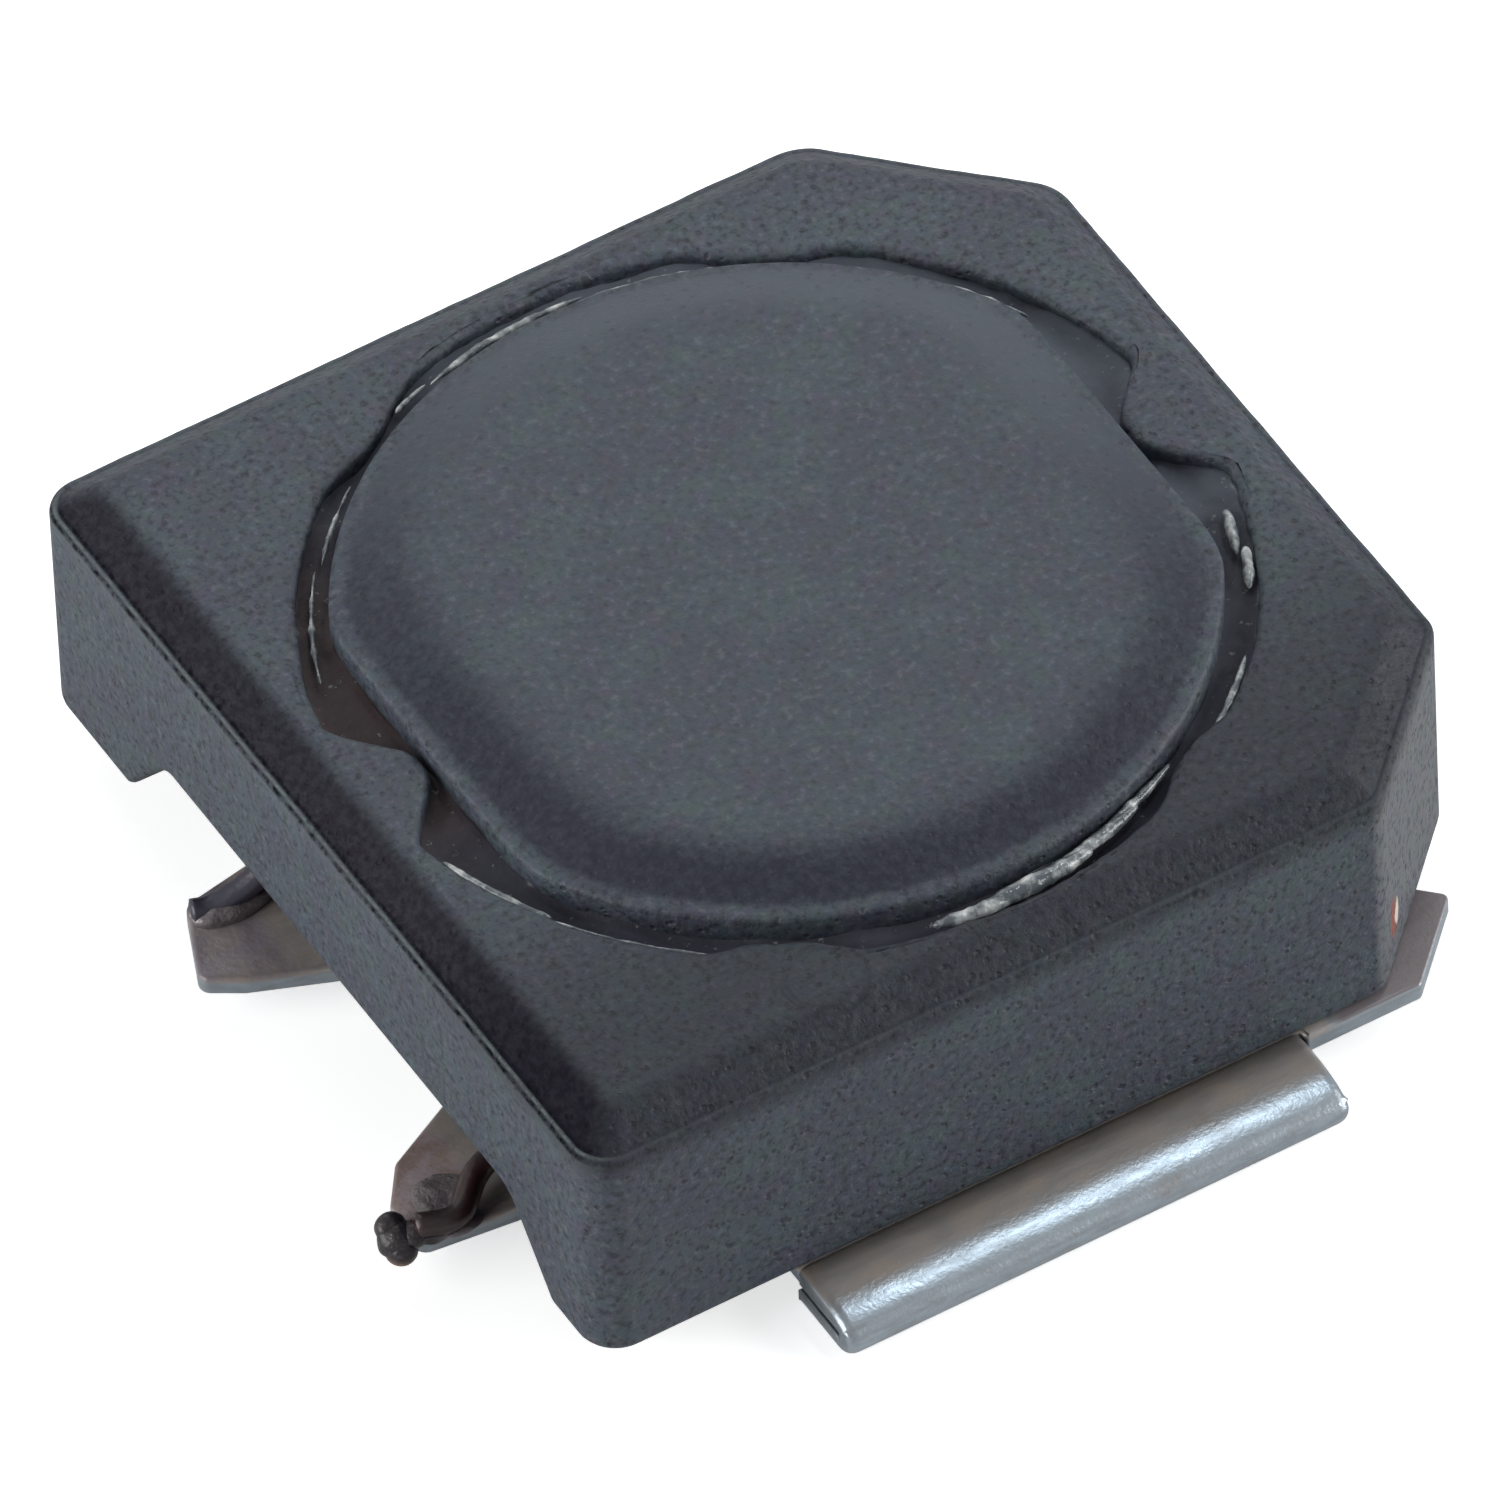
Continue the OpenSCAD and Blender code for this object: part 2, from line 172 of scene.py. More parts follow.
def makeFerrite(name, bands, marks=(), pressed=None):
    # bands: attribute on the mesh, colour, how much the grain breaks it up, how much duller it is
    # marks: middle, half sizes and colour of a chip; pressed: middle and radius of a round press mark
    look = ferriteLook
    material, tree, shader, place, x, y, z = newFinish(name)
    grain = noiseOf(place, look["grains"], 3.0, 0.62)
    mottle = noiseOf(place, look["mottles"], 4.0, 0.55)
    blotch = noiseOf(place, look["blotches"], 3.0, 0.6)
    colour = mix(rangeOf(mottle, 0.4, 0.66, 0.0, 0.7), look["body"], look["green"])
    colour = mix(rangeOf(blotch, 0.5, 0.72, 0.0, 0.55), colour, look["violet"])
    fromAxis = farFrom(place, (0, 0, 0), (1, 1, 0))
    # painted shade: the ring's top is darker and less glossy towards -Y, the side that catches less light
    frontShade = times(rangeOf(y, -0.8, -3.2, 0.0, 0.75), rangeOf(z, 2.2, 2.45), rangeOf(fromAxis, 3.15, 3.5))
    # painted light: the corner cut off between +X and -Y is lighter, where the lamp on the right falls on it
    cut = ringCore["side"] - ringCore["frontChamfer"]
    chamferLight = times(rangeOf(minus(x, y), cut - 0.09, cut - 0.03), rangeOf(z, 2.5, 2.35, 0.0, 0.55))
    colour = mix(chamferLight, colour, look["chamfer"])
    # the sides and the ring's top are coarser than the pressed crown of the drum
    coarse = rangeOf(fromAxis, 2.3, 3.6, 0.45, 1.0)
    colour = mix(rangeOf(grain, 0.54, 0.7, 0.0, 0.62), colour, look["light"])
    colour = mix(times(rangeOf(grain, 0.5, 0.33), coarse), colour, look["dark"])
    cells = addNode(tree, "ShaderNodeTexVoronoi", {"Vector": place, "Scale": look["pores"]})
    pores = times(rangeOf(cells.outputs["Distance"], 0.3, 0.12), coarse, rangeOf(blotch, 0.42, 0.54))
    colour = mix(times(pores, 0.5), colour, look["pore"])
    colour = mix(0.3, colour, noiseOf(place, look["tints"], 3.0, 0.7, "Color"), "OVERLAY")
    colour = mix(frontShade, colour, look["frontShade"], "MULTIPLY")
    gloss = minus(0.5, times(frontShade, 0.14))
    # bands of painted shade and painted highlight, and the bevel's own darker face, laid on by mesh attributes
    for attribute, shade, breakUp, dulling in bands:
        found = addNode(tree, "ShaderNodeAttribute", attribute_name=attribute).outputs["Fac"]
        mask = times(found, rangeOf(grain, 0.34, 0.62, 1.0, 1.0 - breakUp))
        colour = mix(mask, colour, look[shade])
        if dulling:
            gloss = minus(gloss, times(mask, dulling), clamp=True)
    for middle, size, shade in marks:
        far = farFrom(place, middle, [1 / half for half in size])
        far = plus(far, times(minus(blotch, 0.5), 2.0))
        colour = mix(rangeOf(far, 1.0, 0.6), colour, look[shade])
    height = minus(plus(times(grain, 0.6), times(blotch, 0.5)), times(pores, 0.6))
    if pressed:
        radius = pressed[3]
        far = farFrom(place, pressed[:3])
        line = rangeOf(mathOf("ABSOLUTE", minus(far, radius)), 0.045, 0.0)
        height = minus(minus(height, times(line, 0.9)), rangeOf(far, radius, radius - 0.04, 0.0, 0.5))
        colour = mix(times(line, 0.45), colour, look["dark"])
    dress(shader, (height, 0.6, 0.04), {
        "Base Color": colour, "Roughness": look["roughness"], "Specular IOR Level": gloss})
    return material


def paintBands(mesh, bands):
    for name, values in bands.items():
        mesh.attributes.new(name, "FLOAT", "POINT").data.foreach_set("value", values)


# Outlines and meshes, in millimetres round the ring's axis

def roundedOutline(corners, step=3.0):
    # corners are (x, y, radius), anticlockwise
    points = []
    count = len(corners)
    for i in range(count):
        here = Vector(corners[i][:2])
        toLast = (Vector(corners[i - 1][:2]) - here).normalized()
        toNext = (Vector(corners[(i + 1) % count][:2]) - here).normalized()
        radius = corners[i][2]
        if radius <= 0:
            points.append(here)
            continue
        half = toLast.angle(toNext) / 2
        middle = here + (toLast + toNext).normalized() * radius / sin(half)
        first = here + toLast * radius / tan(half) - middle
        last = here + toNext * radius / tan(half) - middle
        start = atan2(first.y, first.x)
        sweep = (atan2(last.y, last.x) - start + 3 * pi) % (2 * pi) - pi
        steps = max(2, ceil(abs(degrees(sweep)) / step))
        for k in range(steps + 1):
            angle = start + sweep * k / steps
            points.append(middle + Vector((cos(angle), sin(angle))) * radius)
    return points


def anglesRound(count):
    return np.linspace(-pi, pi, count, endpoint=False)


def reachAt(outline, angles):
    # distance from the axis to the outline along each angle
    points = np.array([(p.x, p.y) for p in outline])
    closed = np.vstack([points, points[:1]])
    dense = []
    for a, b in zip(closed[:-1], closed[1:]):
        count = max(2, int(np.linalg.norm(b - a) / 0.004))
        dense.append(a + (b - a) * np.linspace(0, 1, count, endpoint=False)[:, None])
    dense = np.vstack(dense)
    around = np.arctan2(dense[:, 1], dense[:, 0])
    order = np.argsort(around)
    return np.interp(angles, around[order], np.hypot(dense[:, 0], dense[:, 1])[order], period=2 * pi)


def wobble(x, y, z, size, seed):
    return noise.noise(Vector((x / size + seed, y / size - seed, z / size + seed * 0.5)))


def smoothStep(value, low, high):
    t = min(1.0, max(0.0, (value - low) / (high - low)))
    return t * t * (3 - 2 * t)


def local(x, y, z=0.0):
    # millimetres round the ring's axis to metres in the part's frame; z counts from the board
    return (x * mm + ringMiddle.x, y * mm + ringMiddle.y, z * mm)


def addRing(rows, radii, angles, heights):
    rows.append([(r * cos(a), r * sin(a), z) for r, a, z in zip(radii, angles, heights)])


def gridMesh(name, rows, closedAcross):
    # rows of points round the axis; each row closes on itself, and the first and last may meet
    around = len(rows[0])
    points = [p for row in rows for p in row]
    faces = []
    last = len(rows) if closedAcross else len(rows) - 1
    for r in range(last):
        a, b = r * around, ((r + 1) % len(rows)) * around
        for k in range(around):
            n = (k + 1) % around
            faces.append((a + k, a + n, b + n, b + k))
    mesh = bpy.data.meshes.new(name)
    mesh.from_pydata(points, [], faces)
    return mesh


def addObject(name, data):
    thing = bpy.data.objects.new(name, data)
    bpy.context.scene.collection.objects.link(thing)
    return thing


def showMesh(name, mesh, material, smooth=True):
    mesh.materials.clear()
    mesh.materials.append(material)
    mesh.polygons.foreach_set("use_smooth", [smooth] * len(mesh.polygons))
    mesh.update()
    return addObject(name, mesh)


def closeMesh(mesh):
    # caps what is open and turns every face outwards
    work = bmesh.new()
    work.from_mesh(mesh)
    bmesh.ops.holes_fill(work, edges=[e for e in work.edges if e.is_boundary], sides=0)
    bmesh.ops.recalc_face_normals(work, faces=work.faces)
    work.to_mesh(mesh)
    work.free()
    return mesh


# Ring core

ringCore = {
    "side": 8.0, "sideHeight": 2.08, "bevelHeight": 0.2, "cornerRadius": 0.32, "footRound": 0.09,
    "frontChamfer": 1.27, "backChamfer": 1.42, "frontChamferRadius": 0.25, "backChamferRadius": 0.4,
    "holeRadius": 3.53, "largeRib": 0.5, "largeRibWidth": 1.3, "smallRib": 0.13, "smallRibWidth": 1.1,
    "ribTip": 0.3, "archHeight": 0.7, "archWidth": 6.1, "archTopWidth": 4.95, "archShift": 0.25,
    "archDepth": 1.4, "samples": 1440,
    # the bevel band is partly the bevel's own darker pressed face and partly painted shade for the dark room it
    # reflects; the groove line is painted shade in the crease of the step; the edge line is a painted highlight on
    # the step's ledge
    "bands": (("bevelBand", "bevel", 0.12, 0.4), ("grooveShadeLine", "grooveShade", 0.5, 0.5),
              ("edgeHighlight", "edge", 0.7, 0)),
    # a reddish scar low on the front chamfer, with a painted highlight on its chipped edge
    "marks": (((2.93, -3.78, 0.92), (0.12, 0.12, 0.24), "scar"),
              ((2.99, -3.72, 0.9), (0.07, 0.07, 0.15), "chipHighlight")),
    "pressMark": (-1.66, -3.42, 2.67, 0.31),
}


def ringOutline(inset):
    v = ringCore
    x = v["side"] / 2 - inset
    less = inset * (2 - sqrt(2))  # keeps every bevel the same width on the chamfers
    front, back = v["frontChamfer"] - less, v["backChamfer"] - less
    near, far = v["frontChamferRadius"], v["backChamferRadius"]
    soft = max(0.06, v["cornerRadius"] - inset * 0.8)
    return roundedOutline([(-x, -x, soft), (x - front, -x, near), (x, front - x, near),
                           (x, x - back, far), (x - back, x, far), (-x, x, soft)])


def holeReach(angles):
    v = ringCore
    reach = np.full(len(angles), v["holeRadius"])
    ribs = [(0, v["largeRib"], v["largeRibWidth"]), (180, v["largeRib"], v["largeRibWidth"])]
    ribs += [(a, v["smallRib"], v["smallRibWidth"]) for a in (60, 120, 240, 300)]
    for middle, depth, width in ribs:
        turned = (angles - radians(middle) + pi) % (2 * pi) - pi
        tip = v["holeRadius"] - depth
        root = sqrt(v["holeRadius"] ** 2 - width ** 2 / 4)
        slope = (width - v["ribTip"]) / 2 / (root - tip)
        flat = tip / np.maximum(np.cos(turned), 0.2)
        # where the ray meets the slanted flank |y| = tip width / 2 + slope * (x - tip)
        side = np.abs(np.sin(turned))
        flank = (v["ribTip"] / 2 - slope * tip) / np.minimum(side - slope * np.cos(turned), -1e-6)
        near = np.abs(turned) < radians(25)
        rib = np.where(side * flat < v["ribTip"] / 2, flat, flank)
        reach = np.where(near & (rib > 0), np.minimum(reach, np.maximum(rib, tip)), reach)
    window = np.hanning(19)
    window /= window.sum()
    padded = np.concatenate([reach[-9:], reach, reach[:9]])
    return np.convolve(padded, window, mode="valid")  # softens the moulded corners of the ribs


def archAt(x, y):
    # how far the arch lifts the underside of the ring
    v = ringCore
    across = abs(y + v["archShift"])
    inside = -v["side"] / 2 + v["archDepth"]
    if x > inside + 0.1:
        return 0.0
    ramp = (v["archWidth"] / 2 - across) / (v["archWidth"] - v["archTopWidth"]) * 2 * v["archHeight"]
    raised = min(v["archHeight"], max(0.0, ramp))
    if raised > v["archHeight"] * 0.75:  # rounded where the slope meets the crown
        t = (ramp / v["archHeight"] - 0.75) / 0.5
        raised = v["archHeight"] * (0.75 + 0.25 * (1 - (1 - min(1.0, t)) ** 2))
    return raised * (1 - smoothStep(x, inside - 0.06, inside + 0.06))


def buildRing():
    v = ringCore
    angles = anglesRound(v["samples"])
    low = ringLow.z / mm
    sideTop = low + v["sideHeight"]
    top = sideTop + v["bevelHeight"]
    edge = v["footRound"]
    inner = holeReach(angles)
    reach = {}

    def outer(inset):
        if inset not in reach:
            reach[inset] = reachAt(ringOutline(inset), angles)
        return reach[inset]

    rows, band, grooveShade, bright = [], [], [], []
    x, y = np.cos(angles), np.sin(angles)
    # the painted shade and highlight of the bevel and step weigh most along the -X side, and a little along -Y
    leftSide = np.clip((-x - np.abs(y)) / 0.06 + 0.5, 0, 1)  # 1 along the -X side, 0 elsewhere
    frontSide = np.clip((-y - np.abs(x)) / 0.06 + 0.5, 0, 1)
    strong = 0.15 + 0.85 * leftSide + 0.12 * frontSide

    # each row carries the bevel's partly painted shade, the painted shade in the groove and the painted highlight on
    # the step's ledge
    def addRow(radii, heights, bevel=0.0, dark=0.0, shine=0.0):
        addRing(rows, radii, angles, heights)
        band.extend(bevel * strong)
        grooveShade.extend(dark * (0.15 + 0.85 * leftSide))
        bright.extend(shine * (0.1 + 0.9 * leftSide))

    def floorRow(radii, rise):
        return [low + archAt(r * cos(a), r * sin(a)) + rise for r, a in zip(radii, angles)]

    # outside: foot edge, side face, then groove, step and bevel
    for inset, rise in ((1, 0), (0.62, 0.07), (0.29, 0.29), (0.07, 0.62), (0, 1)):
        addRow(outer(edge * inset), floorRow(outer(edge * inset), edge * rise))
    start = floorRow(outer(0.0), edge)
    for part in (0.12, 0.3, 0.5, 0.7, 0.86):
        addRow(outer(0.0), [s + (sideTop - 0.06 - s) * part for s in start])
    bevelStart = len(rows) + 1
    for inset, z, bevel, dark, shine in (
            (0.0, -0.055, 0, 0, 0.2), (0.004, -0.036, 0, 0.7, 0), (0.014, -0.02, 0, 1, 0),
            (0.024, -0.012, 0, 0.6, 0.1), (0.034, -0.004, 0, 0, 0.9), (0.05, -0.002, 0.1, 0, 0.7),
            (0.062, -0.008, 0.6, 0.3, 0), (0.074, 0.004, 1, 0.5, 0), (0.09, 0.018, 1, 0.1, 0),
            (0.13, 0.05, 1, 0, 0), (0.19, 0.094, 1, 0, 0), (0.25, 0.138, 1, 0, 0), (0.3, 0.172, 0.95, 0, 0),
            (0.335, 0.189, 0.8, 0, 0), (0.37, 0.197, 0.5, 0, 0), (0.42, 0.2, 0.22, 0, 0)):
        addRow(outer(inset), [sideTop + z] * len(angles), bevel, dark, shine)
    bevelEnd = len(rows)
    # top, the soft brink of the hole, its wall, and the underside
    landing = outer(0.42)
    brink = inner + 0.07
    for part in (0.06, 0.16, 0.3, 0.45, 0.6, 0.74, 0.86, 0.95):
        addRow(landing + (brink - landing) * part, [top] * len(angles))
    brinkStart = len(rows)
    for out, drop in ((0.07, 0.0), (0.042, 0.005), (0.02, 0.018), (0.006, 0.04), (0.0, 0.07)):
        addRow(inner + out, [top - drop] * len(angles))
    brinkEnd = len(rows)
    base = floorRow(inner, 0.05)
    for part in (0.08, 0.2, 0.4, 0.65, 0.9):
        addRow(inner, [top - 0.07 + (b - top + 0.07) * part for b in base])
    addRow(inner, base)
    addRow(inner + 0.03, floorRow(inner + 0.03, 0.0))
    for part in (0.2, 0.45, 0.7, 0.9):
        across = inner + 0.03 + (outer(edge) - inner - 0.03) * part
        addRow(across, floorRow(across, 0.0))

    def uneven(r, x, y, z):
        # slight unevenness along the bevel and the brink of the hole
        if bevelStart <= r < bevelEnd:
            lift = 0.009 * wobble(x, y, z, 0.5, 3.1) + 0.005 * wobble(x, y, z, 0.16, 7.7)
            z += lift if z < top - 0.001 else min(0.0, lift)
        if brinkStart <= r < brinkEnd:
            far = hypot(x, y)
            push = 1 + (0.022 * wobble(x, y, z, 0.45, 1.3) + 0.012 * wobble(x, y, z, 0.13, 5.9)) / far
            x, y = x * push, y * push
            z -= 0.012 * max(0.0, wobble(x, y, z, 0.22, 9.2))
        return local(x, y, z)

    mesh = gridMesh("ringCore", [[uneven(r, *point) for point in row] for r, row in enumerate(rows)], True)
    paintBands(mesh, {"bevelBand": band, "grooveShadeLine": grooveShade, "edgeHighlight": bright})
    ferrite = makeFerrite("ringFerrite", v["bands"], v["marks"], v["pressMark"])
    piece = showMesh("ringCore", closeMesh(mesh), ferrite)
    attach(piece, "root")
    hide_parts("ring_core")


buildRing()
print("ring core ready")


# Drum core

drumCore = {
    "radius": 3.29, "flat": 2.98, "crownHeight": 0.18, "upperFlange": 0.62, "lowerFlange": 0.4,
    "postRadius": 1.6, "samples": 1080, "bands": (("nearSlopeShade", "slope", 0.2, 0.3), ("farSlopeLight", "farSlopeLight", 0.4, 0)),
}


def buildDrum():
    v = drumCore
    angles = anglesRound(v["samples"])
    drumLow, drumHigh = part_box("drum_core")
    low, crown = drumLow.z / mm, drumHigh.z / mm
    rim = crown - v["crownHeight"]
    lowerTop, upperLow = low + v["lowerFlange"], rim - v["upperFlange"]

    def reach(inset, soft=0.12):
        flat = (v["flat"] - inset) / np.maximum(np.abs(np.cos(angles)), 1e-6)
        full = np.full(len(angles), v["radius"] - inset)
        # smooth minimum, so the flats run into the round without a knife edge
        gap = np.clip(0.5 + 0.5 * (full - flat) / soft, 0, 1)
        return full * (1 - gap) + flat * gap - soft * gap * (1 - gap)

    rows, near, far = [], [], []
    # painted shade on the side of the drum's slope facing -X -Y, and painted light on the side facing +X +Y
    facing = np.cos(angles - radians(238))  # 1 where the dark band is strongest
    nearShade, farLight = np.clip(0.72 + 0.58 * facing, 0.04, 1), np.clip(-facing * 0.75, 0, 1)

    def addRow(radii, height, shade=0.0):
        addRing(rows, radii, angles, [height] * len(angles))
        near.extend(nearShade * shade)
        far.extend(farLight * shade)

    for part in (0.02, 0.3, 0.6, 0.85):
        addRow(reach(0.05) * part, low)
    softEdge = ((0.04, 0.0), (0.012, 0.012), (0.0, 0.04))
    for inset, rise in softEdge:
        addRow(reach(inset), low + rise)
    for inset, drop in reversed(softEdge):
        addRow(reach(inset), lowerTop - drop)
    for height in (lowerTop, upperLow):
        addRow(np.full(len(angles), v["postRadius"]), height)
    for inset, rise in softEdge:
        addRow(reach(inset), upperLow + rise)
    addRow(reach(0.0), (upperLow + rim) / 2)
    for inset, drop in ((0.0, 0.06), (0.008, 0.028), (0.026, 0.008)):
        addRow(reach(inset), rim - drop)
    for inset, z, shade in (
            (0.05, 0, 0), (0.1, 0.004, 0.25), (0.14, 0.018, 0.9), (0.2, 0.042, 1), (0.27, 0.072, 1),
            (0.34, 0.1, 1), (0.41, 0.128, 0.95), (0.47, 0.148, 0.8), (0.53, 0.163, 0.6), (0.6, 0.174, 0.35),
            (0.7, 0.18, 0.14), (0.82, 0.18, 0.04)):
        addRow(reach(inset, 0.12 + inset * 0.6), rim + z, shade)
    crownReach = reach(0.82, 0.6)
    for part in (0.85, 0.6, 0.35, 0.12, 0.004):
        addRow(crownReach * part, crown)

    def uneven(x, y, z):
        if z > rim - 0.07:
            z -= 0.006 * max(0.0, wobble(x, y, z, 0.6, 2.4)) + 0.004 * max(0.0, wobble(x, y, z, 0.18, 6.4))
        return local(x, y, z)

    mesh = gridMesh("drumCore", [[uneven(*point) for point in row] for row in rows], False)
    paintBands(mesh, {"nearSlopeShade": near, "farSlopeLight": far})
    piece = showMesh("drumCore", closeMesh(mesh), makeFerrite("drumFerrite", v["bands"]))
    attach(piece, "root")
    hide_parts("drum_core")


buildDrum()
print("drum core ready")


# Tools for the small parts

def boxOf(name):
    low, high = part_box(name)
    return low / mm, high / mm


def offsetOutline(points, inset):
    moved = []
    count = len(points)
    for i, here in enumerate(points):
        a = (here - points[i - 1]).normalized()
        b = (points[(i + 1) % count] - here).normalized()
        inward = Vector((-(a.y + b.y), a.x + b.x)).normalized()
        moved.append(here + inward * inset / max(0.5, inward.dot(Vector((-a.y, a.x)))))
    return moved


def bodyOfRows(name, rows):
    # closed body from equal rows of points, capped at both ends
    return closeMesh(gridMesh(name, rows, False))


def joinMeshes(name, meshes):
    work = bmesh.new()
    for mesh in meshes:
        work.from_mesh(mesh)
        bpy.data.meshes.remove(mesh)
    joined = bpy.data.meshes.new(name)
    work.to_mesh(joined)
    work.free()
    return joined


def edgeSteps(radius, count=4):
    # (inset, drop) pairs round a quarter circle
    turns = (pi / 2 * k / count for k in range(count + 1))
    return [(radius * (1 - sin(t)), radius * (1 - cos(t))) for t in turns]


def settledMesh(holder):
    # the mesh that an object's modifiers leave; the object itself goes
    bpy.context.view_layer.update()
    mesh = bpy.data.meshes.new_from_object(holder.evaluated_get(bpy.context.evaluated_depsgraph_get()))
    holder.modifiers.clear()
    bpy.data.objects.remove(holder)
    return mesh


def runNodes(name, tree, values):
    # runs a geometry tree and keeps the result as a plain mesh
    holder = addObject(name, bpy.data.meshes.new(name))
    modifier = holder.modifiers.new("build", "NODES")
    modifier.node_group = tree
    for item in tree.interface.items_tree:
        if item.item_type == "SOCKET" and item.in_out == "INPUT" and item.name in values:
            modifier[item.identifier] = values[item.name]
    return settledMesh(holder)


def newGeometryTree(name, inputs):
    # inputs: name and default of each size; None stands for the material
    kinds = {float: "Float", int: "Int", tuple: "Vector", type(None): "Material"}
    tree = bpy.data.node_groups.new(name, "GeometryNodeTree")
    tree.interface.new_socket("Geometry", in_out="INPUT", socket_type="NodeSocketGeometry")
    for label, value in inputs.items():
        kind = "NodeSocket" + kinds[type(value)]
        socket = tree.interface.new_socket(label, in_out="INPUT", socket_type=kind)
        if value is not None:
            socket.default_value = value
    tree.interface.new_socket("Geometry", in_out="OUTPUT", socket_type="NodeSocketGeometry")
    return tree, addNode(tree, "NodeGroupInput").outputs


def finishTube(tree, sizes, curve, radius, shift, swell=None):
    # a round tube along the curve, moved to its place, made real and given its material
    circle = {"Resolution": sizes["Sides"], "Radius": radius}
    profile = addNode(tree, "GeometryNodeCurvePrimitiveCircle", circle).outputs[0]
    shape = addNode(tree, "GeometryNodeCurveToMesh", {0: curve, 1: profile, "Fill Caps": True})
    if swell:
        feed(tree, shape, {"Scale": swell})
    for kind, values in (("GeometryNodeTransform", {"Translation": shift}),
                         ("GeometryNodeRealizeInstances", {}),
                         ("GeometryNodeSetMaterial", {"Material": sizes["Material"]}),
                         ("NodeGroupOutput", {})):
        shape = addNode(tree, kind, {0: shape.outputs[0], **values})
    return tree


# Terminals

terminal = {
    "sheet": 0.17, "slit": 0.05, "edgeRound": 0.03,
    "footReach": 0.699, "footLength": 4.4, "footShift": 0.1, "endCut": 0.1, "leaf": 0.75, "endRound": 0.09,
    "softBend": 0.3, "plateIn": 2.0, "plateEnd": 1.4, "plateRound": 0.3, "cornerTab": 0.23,
    "cornerRound": 0.06, "tabRoot": 0.7, "tabReach": 0.5, "tabWidth": 0.98, "tabOffset": 1.47,
    "tabShift": 0.33, "tabRound": 0.1, "rootRound": 0.2,
    "front": {"side": -1, "splay": 25, "tip": 0.42, "cornerReach": 0.5, "reach": 0.5, "shoulder": 0.17,
              "flare": 0.0},
    "back": {"side": 1, "splay": 8, "tip": 0.7, "cornerReach": 0.24, "reach": 0.54, "shoulder": 0.05,
             "flare": 0.28},
}
tinLook = {
    "bright": paint(166, 176, 184), "dull": paint(150, 157, 163), "warm": paint(142, 132, 124),
    "oxideAndReflection": paint(162, 148, 136), "tabTop": paint(112, 102, 103), "backTab": paint(104, 101, 110),
    "flux": paint(126, 108, 104), "violet": paint(142, 128, 134), "streaks": (3.0, 13.0, 13.0),
}


def makeTin():
    look = tinLook
    material, tree, shader, place, x, y, z = newFinish("tinnedSheet")
    drawn = addNode(tree, "ShaderNodeMapping", {"Vector": place, "Scale": look["streaks"]})
    streak = noiseOf(drawn.outputs[0], 1.0, 4.0, 0.6)
    cloud = noiseOf(place, 2.2, 4.0, 0.6)
    fine = noiseOf(place, 26.0, 2.0, 0.6)
    colour = mix(rangeOf(streak, 0.35, 0.68), look["bright"], look["dull"])
    colour = mix(rangeOf(cloud, 0.56, 0.74, 0.0, 0.5), colour, look["warm"])
    # the flat tops of the feet, beside the ring, are duller and browner than the bend: partly oxide, partly a painted
    # reflection of the dark ring wall beside them
    flatTop = times(rangeOf(mathOf("ABSOLUTE", y), 4.5, 4.3), rangeOf(z, 0.33, 0.37), rangeOf(x, 2.3, 2.15),
                    rangeOf(streak, 0.3, 0.6, 1.0, 0.8), rangeOf(cloud, 0.35, 0.6, 1.0, 0.7))
    colour = mix(flatTop, colour, look["oxideAndReflection"])
    # the level top of the corner tab is darker: partly oxide, partly painted shade against the strip lamp's
    # reflection on it
    cornerTop = times(rangeOf(x, 2.2, 2.35), rangeOf(z, 0.37, 0.385))
    colour = mix(times(cornerTop, 0.9), colour, look["tabTop"])
    # soldering has left flux on the top of the wire tabs
    onTab = rangeOf(x, -3.7, -4.0)
    stain = times(onTab, rangeOf(z, 0.33, 0.385), rangeOf(cloud, 0.3, 0.55, 0.55, 1.0))
    stained = mix(rangeOf(noiseOf(place, 5.0, 3.0), 0.42, 0.6), look["flux"], look["violet"])
    stained = mix(rangeOf(y, -0.5, 0.5, 0.0, 0.65), stained, look["backTab"])
    colour = mix(stain, colour, stained)
    metal = minus(0.8, times(stain, 0.6))
    metal = minus(metal, times(mathOf("MAXIMUM", flatTop, cornerTop), 0.7), clamp=True)
    height = plus(plus(times(streak, 0.09), times(fine, 0.3)), times(cloud, onTab, 2.0))
    dress(shader, (height, 0.3, 0.03), {
        "Base Color": colour, "Metallic": metal, "Roughness": plus(times(streak, 0.16), 0.24)})
    return material


